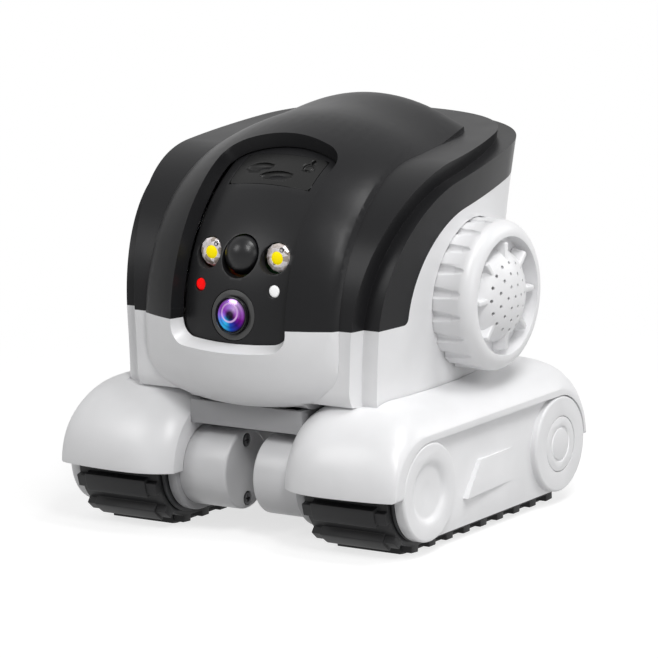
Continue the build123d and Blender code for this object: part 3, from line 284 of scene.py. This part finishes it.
def drawn_metal(name, colour, roughness, stretch):
    """Bare metal with the fine lines that drawing or turning leaves along the piece."""
    material, tree, shader = new_material(name)
    shader.inputs["Metallic"].default_value = 1.0
    place = tree.nodes.new("ShaderNodeTexCoord")
    along = tree.nodes.new("ShaderNodeMapping")
    along.inputs["Scale"].default_value = stretch
    lines = tree.nodes.new("ShaderNodeTexNoise")
    lines.inputs["Scale"].default_value = 1500.0
    lines.inputs["Detail"].default_value = 3.0
    tone = colour_ramp(tree, [(0.0, [part * 0.8 for part in colour]), (1.0, colour)])
    sheen = tree.nodes.new("ShaderNodeMapRange")
    sheen.inputs["To Min"].default_value = roughness * 0.8
    sheen.inputs["To Max"].default_value = roughness * 1.3
    tree.links.new(place.outputs["Object"], along.inputs["Vector"])
    tree.links.new(along.outputs["Vector"], lines.inputs["Vector"])
    tree.links.new(lines.outputs["Fac"], tone.inputs["Fac"])
    tree.links.new(tone.outputs["Color"], shader.inputs["Base Color"])
    tree.links.new(lines.outputs["Fac"], sheen.inputs["Value"])
    tree.links.new(sheen.outputs["Result"], shader.inputs["Roughness"])
    return material


steel = drawn_metal("drawn_steel", (0.56, 0.57, 0.58), 0.3, (0.05, 1, 1))
paint(
    steel, "left_drive_shaft", "right_drive_shaft", "left_idler_axle", "right_idler_axle",
)

# Inner frames and chassis tray: grey moulded plastic that carries the axles and closes the
# robot from below, where the tray is screwed to the floor of the head.
grey = moulded_finish("grey_plastic", (0.36, 0.36, 0.37), 0.42, 0.0003, 0.00002)
for side in ("left", "right"):
    plate = finish_moulding(f"{side}_inner_frame", f"{side}_axle_frame", 0.0003)
    dress(plate, "chassis", "grey_frame", grey, f"{side}_inner_frame")
tray = finish_moulding("chassis_tray", "belly_tray", 0.0004)
dress(tray, "chassis", "grey_frame", grey, "chassis_tray")

# Motor barrels: silver grey cups between the pods, each held to its drive motor by two small
# dark screws. The motors are plain steel cans on a gear case.
silver_grey = moulded_finish("silver_grey_plastic", (0.66, 0.66, 0.67), 0.34, 0.00025, 0.000012)
for side in ("left", "right"):
    barrel = finish_moulding(f"{side}_motor_barrel", f"{side}_barrel", 0.0003, flatten=False)
    dress(barrel, "chassis", "grey_barrel", silver_grey, f"{side}_motor_barrel")
can = drawn_metal("motor_can_steel", (0.6, 0.6, 0.6), 0.35, (1, 0.1, 0.1))
paint(can, "left_drive_motor", "right_drive_motor", "tilt_motor")
blacked = drawn_metal("blacked_screw_steel", (0.09, 0.09, 0.095), 0.35, (1, 1, 1))
screws = finish_moulding("barrel_screws", "barrel_face_screws", 0.00012)
dress(screws, "chassis", "steel", blacked, "barrel_screws")
screws = finish_moulding("chassis_screws", "belly_screws", 0.00012)
dress(screws, "chassis", "steel", blacked, "chassis_screws")

# Fenders: white plastic shells over the tracks, domed like a boot and moulded in one with a
# fine satin skin.
white_plastic = moulded_finish("white_plastic", (0.8, 0.8, 0.81), 0.32, 0.00022, 0.000008)
for side in ("left", "right"):
    shell = finish_moulding(f"{side}_fender", f"{side}_fender_shell", 0.0004, 3)
    dress(shell, "chassis", "white_shell", white_plastic, f"{side}_fender")

# Side panels: white plates that close each pod, with a raised disc over both axles, a ramped
# scoop between them and a round cap pressed in over the rear axle.
front_axle = -0.0363
axle_height = 0.0181
pod_outer = 0.0560


def turned(name, profile, sides=64, smooth=smooth_angle):
    """A turned piece standing on +Z: rings of the profile, closed at both ends."""
    bpy.ops.object.select_all(action="DESELECT")
    first, low = profile[0]
    bpy.ops.mesh.primitive_circle_add(
        vertices=sides, radius=first, fill_type="NGON", location=(0, 0, 0)
    )
    piece = bpy.context.object
    piece.name = name
    bpy.ops.object.mode_set(mode="EDIT")
    bpy.ops.mesh.select_all(action="SELECT")
    bpy.ops.transform.translate(value=(0, 0, low))
    for radius, rise in profile[1:]:
        bpy.ops.mesh.extrude_region_move(
            TRANSFORM_OT_translate={"value": (0, 0, rise - low)}
        )
        bpy.ops.transform.resize(
            value=(radius / first, radius / first, 1), center_override=(0, 0, rise)
        )
        first, low = radius, rise
    bpy.ops.mesh.select_all(action="SELECT")
    bpy.ops.mesh.normals_make_consistent(inside=False)
    bpy.ops.object.mode_set(mode="OBJECT")
    bpy.ops.object.shade_smooth_by_angle(angle=smooth)
    return piece


def apply_cut(piece, cutter, operation="DIFFERENCE", overlaps=False):
    """Cut the second mesh out of the first, or weld the two into one."""
    select_only(piece)
    cut = piece.modifiers.new("cut", "BOOLEAN")
    cut.operation = operation
    cut.solver = "EXACT"
    cut.use_self = overlaps
    cut.object = cutter
    bpy.ops.object.modifier_apply(modifier=cut.name)
    bpy.data.objects.remove(cutter)


def set_on_side(piece, hand, rise, y, z):
    """Turn what stands on +Z out along X at a place on the left or right side."""
    out = Matrix((Vector((0, hand, 0)), Vector((0, 0, 1)), Vector((hand, 0, 0)))).transposed()
    piece.data.transform(Matrix.Translation(Vector((hand * rise, y, z))) @ out.to_4x4())
    piece.data.update()


for side, hand in (("left", -1), ("right", 1)):
    plate = finish_moulding(f"{side}_side_panel", f"{side}_pod_panel", 0.0004, 3)
    bowl = turned("bowl", [
        (0.0030, -0.0013), (0.0068, -0.0013), (0.0074, -0.0012), (0.0079, -0.0009),
        (0.0084, -0.0005), (0.0091, -0.0002), (0.0102, 0.0001), (0.0106, 0.0020),
    ])
    set_on_side(bowl, hand, pod_outer, front_axle, axle_height)
    apply_cut(plate, bowl)
    bpy.ops.object.shade_smooth_by_angle(angle=smooth_angle)
    dress(plate, "chassis", "white_shell", white_plastic, f"{side}_side_panel")
    cap = finish_moulding(f"{side}_hub_cap", f"{side}_round_cap", 0.00025)
    dress(cap, "chassis", "white_shell", white_plastic, f"{side}_hub_cap")

# Head: a white lower shell and a dark gloss cover that meets it along a level seam, both
# stepped in layers that follow the round brow and run back over the roof.


def even_sheen(piece):
    """Weight the normals by face area, so that the gloss runs over the layers cleanly."""
    weights = piece.modifiers.new("weights", "WEIGHTED_NORMAL")
    weights.mode = "FACE_AREA"
    weights.weight = 60
    weights.keep_sharp = True
    bpy.ops.object.modifier_apply(modifier=weights.name)


head_base = finish_moulding("head_lower_shell", "head_base", 0.0004, 3)
even_sheen(head_base)
dress(head_base, "chassis", "white_shell", white_plastic, "head_lower_shell")
dark_gloss = moulded_finish(
    "dark_gloss_plastic", (0.012, 0.012, 0.013), 0.34, 0.00035, 0.000003, level=0.17
)
head_cover = finish_moulding("head_top_cover", "head_cover", 0.0005, 3)
even_sheen(head_cover)
dress(head_cover, "chassis", "gloss_black", dark_gloss, "head_top_cover")

# Ears: a white ring with long scallops round its side and a dished face. The grille in it is
# a dome with rings of small holes in front of the speaker and eight fins round its foot.
ear_y = 0.0064
ear_z = 0.0663
dish_floor = 0.0514
dome_radius = 0.0134
dome_height = 0.0071
fin_count = 8
fin_size = (0.0060, 0.0027, 0.0044)
fin_reach = 0.0128
fin_heel = 0.0118
fin_taper = (0.86, 0.55, 1)
fin_rounding = 0.0004
grille_wall = 0.0012
tip_opening = 0.0003
hole_radius = 0.00052
hole_depth = 0.005
hole_sides = 14
hole_rings = ((0.0035, 6), (0.0067, 11), (0.0096, 16))
scoop_count = 20
scoop_size = (0.0016, 0.0016, 0.0102)
scoop_reach = 0.0219
scoop_middle = 0.0433
scoop_start = radians(9)


def repeat_round(count):
    """In edit mode: repeat what is selected evenly round the Z axis."""
    bpy.ops.mesh.spin(
        steps=count - 1, dupli=True, angle=2 * pi * (count - 1) / count,
        center=(0, 0, 0), axis=(0, 0, 1),
    )


def dome_rise(across, radius, height):
    """How high an elliptic dome stands at a distance from its axis."""
    return height * sqrt(max(0.0, 1 - (across / radius) ** 2))


def grille_dome():
    """The dome as a thin shell, standing on +Z with the dish floor at zero."""
    inner_radius = dome_radius - grille_wall
    inner_height = dome_height - grille_wall
    inside = [inner_radius * sin(pi / 2 * step / 14) for step in range(1, 15)]
    outside = [dome_radius * sin(pi / 2 * step / 16) for step in range(16, 0, -1)]
    profile = [(tip_opening, inner_height)]
    for across in inside:
        profile.append((across, dome_rise(across, inner_radius, inner_height)))
    for across in outside:
        profile.append((across, dome_rise(across, dome_radius, dome_height)))
    profile.append((tip_opening, dome_height))
    return turned("grille", profile, 96)


def grille_fins():
    """The fins round the foot of the dome, narrower at the top."""
    bpy.ops.object.select_all(action="DESELECT")
    bpy.ops.mesh.primitive_cube_add(size=1, location=(0, 0, 0))
    fins = bpy.context.object
    bpy.ops.object.mode_set(mode="EDIT")
    bpy.ops.mesh.select_all(action="SELECT")
    bpy.ops.transform.resize(value=fin_size, center_override=(0, 0, 0))
    bpy.ops.transform.translate(value=(fin_reach, 0, fin_size[2] / 2))
    bpy.ops.mesh.select_all(action="DESELECT")
    bpy.ops.object.mode_set(mode="OBJECT")
    for face in fins.data.polygons:
        face.select = face.normal.z > 0.9
    bpy.ops.object.mode_set(mode="EDIT")
    bpy.ops.transform.resize(value=fin_taper, center_override=(fin_heel, 0, fin_size[2]))
    bpy.ops.mesh.select_all(action="SELECT")
    bpy.ops.mesh.bevel(
        offset=fin_rounding, offset_type="OFFSET", segments=3, affect="EDGES"
    )
    bpy.ops.mesh.select_all(action="SELECT")
    repeat_round(fin_count)
    bpy.ops.object.mode_set(mode="OBJECT")
    return fins


def grille_holes():
    """The rods that drill the dome: one at the top and rings of them square to its skin."""
    bpy.ops.object.select_all(action="DESELECT")
    bpy.ops.mesh.primitive_cylinder_add(
        vertices=hole_sides, radius=hole_radius, depth=hole_depth, location=(0, 0, dome_height)
    )
    holes = bpy.context.object
    bpy.ops.object.mode_set(mode="EDIT")
    for across, count in hole_rings:
        rise = dome_rise(across, dome_radius, dome_height)
        lean = atan2(across / dome_radius**2, rise / dome_height**2)
        bpy.ops.mesh.select_all(action="DESELECT")
        bpy.ops.mesh.primitive_cylinder_add(
            vertices=hole_sides, radius=hole_radius, depth=hole_depth,
            location=(across, 0, rise), rotation=(0, lean, 0),
        )
        repeat_round(count)
    bpy.ops.object.mode_set(mode="OBJECT")
    return holes


def scallop_cutter():
    """The long pointed scoops that are cut from the ring, standing round the Z axis."""
    bpy.ops.object.select_all(action="DESELECT")
    bpy.ops.mesh.primitive_uv_sphere_add(
        segments=20, ring_count=14, radius=1, location=(0, 0, 0)
    )
    scoops = bpy.context.object
    bpy.ops.object.mode_set(mode="EDIT")
    bpy.ops.mesh.select_all(action="SELECT")
    bpy.ops.transform.resize(value=scoop_size, center_override=(0, 0, 0))
    bpy.ops.transform.translate(value=(scoop_reach, 0, scoop_middle))
    bpy.ops.transform.rotate(
        value=scoop_start, orient_axis="Z", orient_type="GLOBAL", center_override=(0, 0, 0)
    )
    repeat_round(scoop_count)
    bpy.ops.object.mode_set(mode="OBJECT")
    return scoops


for side, hand in (("left", -1), ("right", 1)):
    ring = finish_moulding(f"{side}_ear_ring", f"{side}_ear_rim", 0.0003, 2)
    scoops = scallop_cutter()
    set_on_side(scoops, hand, 0.0, ear_y, ear_z)
    apply_cut(ring, scoops)
    bpy.ops.object.shade_smooth_by_angle(angle=smooth_angle)
    dress(ring, "chassis", "white_shell", white_plastic, f"{side}_ear_ring")
    grille = grille_dome()
    apply_cut(grille, grille_fins(), "UNION")
    apply_cut(grille, grille_holes())
    grille.name = f"{side}_speaker_grille"
    set_on_side(grille, hand, dish_floor, ear_y, ear_z)
    select_only(grille)
    bpy.ops.object.shade_smooth_by_angle(angle=radians(40))
    dress(grille, "chassis", "white_shell", white_plastic, f"{side}_ear_grille")

# Camera drum: a black curved face, glossy and slightly greyed by the light, that tilts with
# all the optics. The ring round the lens is pressed in flush with it.
panel_gloss = moulded_finish(
    "panel_gloss", (0.014, 0.014, 0.015), 0.34, 0.0003, 0.000003, level=0.2
)
face = finish_moulding("face_drum", "drum_face", 0.0002)
dress(face, "camera_drum", "panel_black", panel_gloss, "face_drum")
bezel_plastic = moulded_finish("bezel_plastic", (0.05, 0.05, 0.05), 0.4, 0.0002, 0.000006)
bezel = finish_moulding("lens_ring", "lens_bezel", 0.00015)
dress(bezel, "camera_drum", "panel_black", bezel_plastic, "lens_ring")

# Card cover: a soft black rubber plug above the optics, with two lens shaped finger scoops and
# a small ring with a stem pressed into it.
tilt_y = 0.0004
tilt_z = 0.060
cover_angle = 58.6
drum_radius = 0.0504
bulge_radius = 0.062
ring_x = 0.0094
ring_y = 0.0020
ring_depth = 0.0008
scoop_depth = 0.0004
scoop_bow = 0.0011


def set_in_face(piece, angle, reach):
    """Move the mesh from the origin to its place on the drum, facing out along the radius."""
    tip = radians(angle)
    out = Vector((0, -cos(tip), sin(tip)))
    up = Vector((0, sin(tip), cos(tip)))
    turned_to = Matrix((Vector((1, 0, 0)), up, out)).transposed().to_4x4()
    at = Matrix.Translation(Vector((0, tilt_y, tilt_z)) + reach * out)
    piece.data.transform(at @ turned_to)
    piece.data.update()


def press_tool():
    """What is pressed into the cover: two scoops, a ring and its stem, each a place, half
    sizes and a lean in degrees."""
    bpy.ops.object.select_all(action="DESELECT")
    bpy.ops.mesh.primitive_torus_add(
        location=(0, 0, 0), major_radius=0.0015, minor_radius=0.00045,
        major_segments=32, minor_segments=10,
    )
    tool = bpy.context.object
    bpy.ops.object.mode_set(mode="EDIT")
    bpy.ops.mesh.select_all(action="SELECT")
    bpy.ops.transform.translate(value=(ring_x, ring_y, -ring_depth))
    left_scoop = (-0.0054, 0.0004, 0.0050, 0.0019, -4)
    right_scoop = (0.0012, -0.0028, 0.0052, 0.0019, -6)
    stem = (ring_x, 0.0047, 0.0005, 0.0011, 0)
    for x, y, long, high, lean in (left_scoop, right_scoop, stem):
        bpy.ops.mesh.select_all(action="DESELECT")
        bpy.ops.mesh.primitive_uv_sphere_add(
            segments=32, ring_count=16, radius=1, location=(0, 0, 0)
        )
        bpy.ops.transform.resize(value=(long, high, scoop_bow), center_override=(0, 0, 0))
        bpy.ops.transform.rotate(
            value=radians(lean), orient_axis="Z", orient_type="GLOBAL", center_override=(0, 0, 0)
        )
        sag = x * x / (2 * bulge_radius) + y * y / (2 * drum_radius)
        bpy.ops.transform.translate(value=(x, y, -scoop_depth - sag))
    bpy.ops.object.mode_set(mode="OBJECT")
    return tool


soft_rubber = moulded_finish(
    "soft_rubber", (0.012, 0.012, 0.012), 0.42, 0.0003, 0.00001, level=0.25
)
flap = finish_moulding("card_cover", "card_flap", 0.0, flatten=False)
tool = press_tool()
set_in_face(tool, cover_angle, drum_radius)
apply_cut(flap, tool, overlaps=True)
bpy.ops.object.shade_smooth_by_angle(angle=smooth_angle)
dress(flap, "camera_drum", "soft_black", soft_rubber, "card_cover")

# Lens: a satin black barrel with a sloping mouth, and a domed glass with painted reflections in
# its colour: the coating's lilac, violet, blue and cyan sheen laid in turn around a dark pupil,
# two bright rings, and a pale lilac ring set a little above the middle.
lens_angle = 5.6
lens_front = 0.0499
glass_radius = 0.00485
glass_rise = 0.0009
glass_foot = 0.0009
mix_first = 6
mix_second = 7
mix_colour = 2


def cap_height(across, radius, rise):
    """How high a cap cut from a ball stands at a distance from its axis."""
    ball = (radius**2 + rise**2) / (2 * rise)
    return sqrt(ball**2 - across**2) - (ball - rise)


anodised = moulded_finish("anodised_black", (0.004, 0.004, 0.005), 0.25, 0.0002, 0.000003)
mount = turned("lens_mount", [
    (0.0040, -0.0008), (0.0053, -0.0008), (0.0053, 0.0011), (0.0052, 0.0013),
    (0.00505, 0.00135), (0.00495, 0.0012), (0.0049, 0.0009), (0.0047, 0.0008),
])
set_in_face(mount, lens_angle, lens_front)
dress(mount, "camera_drum", "lens_glass", anodised)

dome = [(glass_radius, 0.0007), (glass_radius, glass_foot)]
for step in range(1, 13):
    across = glass_radius * (1 - step / 12.5)
    dome.append((across, glass_foot + cap_height(across, glass_radius, glass_rise)))
glass = turned("coated_lens", dome)
coat_map = glass.data.uv_layers.new(name="coating")
for loop in glass.data.loops:
    point = glass.data.vertices[loop.vertex_index].co
    coat_map.data[loop.index].uv = (point.x / glass_radius, point.y / glass_radius)
set_in_face(glass, lens_angle, lens_front)

coating, tree, shader = new_material("lens_painted_reflections")
shader.inputs["Metallic"].default_value = 1.0
shader.inputs["Roughness"].default_value = 0.16
shader.inputs["Coat Weight"].default_value = 0.2
shader.inputs["Coat Roughness"].default_value = 0.02
place = tree.nodes.new("ShaderNodeUVMap")
place.uv_map = "coating"
around = tree.nodes.new("ShaderNodeTexGradient")
around.gradient_type = "RADIAL"
# Painted reflection: the coating's lilac, blue, cyan and violet sheen, laid in turn round the
# axis of the glass.
painted_reflection_hues = colour_ramp(tree, [
    (0.0, (0.3, 0.14, 0.8)), (0.08, (0.04, 0.3, 0.85)), (0.17, (0.02, 0.42, 0.75)),
    (0.26, (0.0, 0.05, 0.4)), (0.36, (0.02, 0.0, 0.2)), (0.45, (0.16, 0.0, 0.24)),
    (0.54, (0.42, 0.12, 0.62)), (0.66, (0.62, 0.4, 0.8)), (0.78, (0.42, 0.2, 0.72)),
    (0.9, (0.3, 0.04, 0.5)), (1.0, (0.3, 0.14, 0.8)),
])
radius_of = tree.nodes.new("ShaderNodeVectorMath")
radius_of.operation = "LENGTH"
# The pupil is dark in the middle and at the rim; the two bright rings between them are painted
# reflections.
pupil_and_painted_rings = colour_ramp(tree, [
    (0.0, [0.04] * 3), (0.2, [0.06] * 3), (0.3, [0.5] * 3), (0.42, [1.0] * 3), (0.6, [1.0] * 3),
    (0.68, [0.6] * 3), (0.82, [0.95] * 3), (0.9, [0.5] * 3), (0.96, [0.01] * 3),
])
shade = tree.nodes.new("ShaderNodeMix")
shade.data_type = "RGBA"
shade.blend_type = "MULTIPLY"
shade.inputs["Factor"].default_value = 1.0
# Painted reflection: a pale lilac ring centred a little above the middle of the glass.
painted_halo = colour_ramp(tree, [
    (0.0, (0, 0, 0)), (0.46, (0, 0, 0)), (0.50, (1, 1, 1)), (0.56, (1, 1, 1)),
    (0.61, (0, 0, 0)), (1.0, (0, 0, 0)),
])
with_painted_halo = tree.nodes.new("ShaderNodeMix")
with_painted_halo.data_type = "RGBA"
with_painted_halo.inputs[mix_second].default_value = (0.75, 0.5, 0.85, 1)
painted_halo_strength = tree.nodes.new("ShaderNodeMath")
painted_halo_strength.operation = "MULTIPLY"
painted_halo_strength.inputs[1].default_value = 0.7
painted_halo_centre = tree.nodes.new("ShaderNodeVectorMath")
painted_halo_centre.operation = "SUBTRACT"
painted_halo_centre.inputs[1].default_value = (-0.04, 0.16, 0)
painted_halo_radius = tree.nodes.new("ShaderNodeVectorMath")
painted_halo_radius.operation = "LENGTH"
tree.links.new(place.outputs["UV"], around.inputs["Vector"])
tree.links.new(around.outputs["Fac"], painted_reflection_hues.inputs["Fac"])
tree.links.new(place.outputs["UV"], radius_of.inputs[0])
tree.links.new(radius_of.outputs["Value"], pupil_and_painted_rings.inputs["Fac"])
tree.links.new(place.outputs["UV"], painted_halo_centre.inputs[0])
tree.links.new(painted_halo_centre.outputs["Vector"], painted_halo_radius.inputs[0])
tree.links.new(painted_halo_radius.outputs["Value"], painted_halo.inputs["Fac"])
tree.links.new(painted_reflection_hues.outputs["Color"], shade.inputs[mix_first])
tree.links.new(pupil_and_painted_rings.outputs["Color"], shade.inputs[mix_second])
tree.links.new(painted_halo.outputs["Color"], painted_halo_strength.inputs[0])
tree.links.new(painted_halo_strength.outputs[0], with_painted_halo.inputs["Factor"])
tree.links.new(shade.outputs[mix_colour], with_painted_halo.inputs[mix_first])
tree.links.new(with_painted_halo.outputs[mix_colour], shader.inputs["Base Color"])
dress(glass, "camera_drum", "lens_glass", coating, "camera_lens")

# Motion sensor: a satin black plastic dome on a short stem. It stands proud of a level well
# in the face between the two lamps, with a dark gap round its foot.
light_angle = 24.5
sensor_radius = 0.0054
sensor_rise = 0.0034
sensor_front = 0.0450


def set_level(piece, angle, depth, across=0.0):
    """Move the mesh from the origin to a level well in the face, facing straight forwards."""
    forward = Matrix((Vector((1, 0, 0)), Vector((0, 0, 1)), Vector((0, -1, 0))))
    rise = tilt_z + drum_radius * sin(radians(angle))
    at = Matrix.Translation(Vector((across, tilt_y - depth, rise)))
    piece.data.transform(at @ forward.transposed().to_4x4())
    piece.data.update()


sensor_satin = moulded_finish(
    "sensor_satin", (0.004, 0.004, 0.005), 0.32, 0.0002, 0.000001, level=0.4
)
dome = [(sensor_radius, -0.0060), (sensor_radius, 0.0)]
for step in range(1, 17):
    across = sensor_radius * cos(pi / 2 * step / 16.4)
    dome.append((across, cap_height(across, sensor_radius, sensor_rise)))
sensor = turned("motion_sensor", dome)
set_level(sensor, light_angle, sensor_front)
dress(sensor, "camera_drum", "pir_black", sensor_satin, "pir_dome")

# Lamps: a clear lens with a ring of polished facets over a yellow phosphor dot, sunk in a round
# well on each side of the sensor. The facets' colour holds painted reflections, the dot has a
# painted glow, and a small dark bead stands in for a glint.
light_x = 0.0109
light_front = 0.0431
facet_count = 12
facet_sharp = radians(5)
glint_bead_place = Vector((0.0015, 0.0024, 0))
facet_glass, tree, shader = new_material("facet_glass")
shader.inputs["Roughness"].default_value = 0.12
shader.inputs["Coat Weight"].default_value = 0.8
shader.inputs["Coat Roughness"].default_value = 0.03
# Painted reflection: patches from dark brown to pearl white stand in for the light and dark that
# the clear facets reflect.
place = tree.nodes.new("ShaderNodeTexCoord")
painted_glint_patches = tree.nodes.new("ShaderNodeTexVoronoi")
painted_glint_patches.inputs["Scale"].default_value = 620.0
pearl_and_painted_glints = colour_ramp(tree, [
    (0.0, (0.16, 0.13, 0.11)), (0.3, (0.5, 0.42, 0.36)), (0.6, (0.88, 0.82, 0.84)),
    (1.0, (0.95, 0.92, 0.94)),
])
tree.links.new(place.outputs["Object"], painted_glint_patches.inputs["Vector"])
tree.links.new(painted_glint_patches.outputs["Color"], pearl_and_painted_glints.inputs["Fac"])
tree.links.new(pearl_and_painted_glints.outputs["Color"], shader.inputs["Base Color"])


def paint_glow(material, colour, strength):
    """Paint a glow into a finish, so that it shines a little by itself though it is no lamp."""
    shader = material.node_tree.nodes["Principled BSDF"]
    shader.inputs["Emission Color"].default_value = (*colour, 1)
    shader.inputs["Emission Strength"].default_value = strength


# Painted glow: the yellow phosphor shines a little by itself, brighter than the lamps alone make
# it.
phosphor = moulded_finish("phosphor", (0.95, 0.78, 0.0), 0.5, 0.0002, 0.00001, level=0.2)
paint_glow(phosphor, (1.0, 0.78, 0.0), 0.35)
for side, hand in (("left", -1), ("right", 1)):
    facets = turned(f"{side}_lamp_facets", [
        (0.0036, -0.0030), (0.0041, -0.0030), (0.0041, -0.0003), (0.0036, 0.0002),
        (0.0027, 0.0005), (0.0020, 0.00055), (0.0018, 0.0003),
    ], facet_count, facet_sharp)
    set_level(facets, light_angle, light_front, hand * light_x)
    dress(facets, "camera_drum", "lamp_glass", facet_glass, f"{side}_light_lens")
    dot = turned(f"{side}_lamp_dot", [
        (0.0019, -0.0020), (0.0019, 0.0003), (0.0018, 0.0005), (0.0014, 0.0007),
        (0.0007, 0.00078), (0.0001, 0.0008),
    ], 32)
    set_level(dot, light_angle, light_front, hand * light_x)
    dress(dot, "camera_drum", "chip_yellow", phosphor)
    # Painted highlight built as a solid: a small dark steel bead up and to one side of the dot,
    # standing in for a glint on a facet of the lamp.
    glint_bead = turned(f"{side}_lamp_glint_bead", [
        (0.0007, -0.0008), (0.0007, 0.0004), (0.0006, 0.0006), (0.00045, 0.0006),
        (0.0004, 0.0003), (0.0001, 0.0003),
    ], 24)
    glint_bead.data.transform(Matrix.Translation(glint_bead_place))
    set_level(glint_bead, light_angle, light_front, hand * light_x)
    dress(glint_bead, "camera_drum", "lamp_glass", blacked)

# Lamp chips, indicator and light sensor: the parts behind the face stand on the small
# camera board. Two round light pipes end in the face, red on the left, white on the right.
# The chips behind the lamps take the phosphor finish with its painted glow.
paint(phosphor, "light_chips")
# Painted glow: the red and the white pipe each shine a little by themselves, not from a lamp.
red = moulded_finish("red_light_pipe", (0.85, 0.0, 0.0), 0.3, 0.0002, 0.000004, level=0.2)
paint_glow(red, (1.0, 0.0, 0.0), 0.4)
pipe = finish_moulding("red_indicator", "red_light", 0.00035, 3)
dress(pipe, "camera_drum", "red_dot", red, "red_indicator")
milky = moulded_finish("milky_light_pipe", (0.95, 0.95, 0.95), 0.25, 0.0002, 0.000004)
paint_glow(milky, (1.0, 1.0, 1.0), 0.3)
pipe = finish_moulding("light_sensor", "white_light_pipe", 0.00035, 3)
dress(pipe, "camera_drum", "white_dot", milky, "light_sensor")
solder_mask = moulded_finish("solder_mask", (0.02, 0.13, 0.06), 0.3, 0.0008, 0.00003)
paint(solder_mask, "camera_board", "main_board")

# Battery, charge port and power button: two cells in blue shrink wrap, a drawn steel socket
# and a white button that stands a little proud of the rear wall.
shrink_wrap = moulded_finish("shrink_wrap", (0.04, 0.13, 0.38), 0.3, 0.0015, 0.00005)
paint(shrink_wrap, "battery_pack")
socket = drawn_metal("socket_steel", (0.62, 0.62, 0.62), 0.25, (1, 0.1, 1))
paint(socket, "charge_port")
button = finish_moulding("power_button", "rear_button", 0.0002)
dress(button, "power_button", "button_white", white_plastic, "power_button")
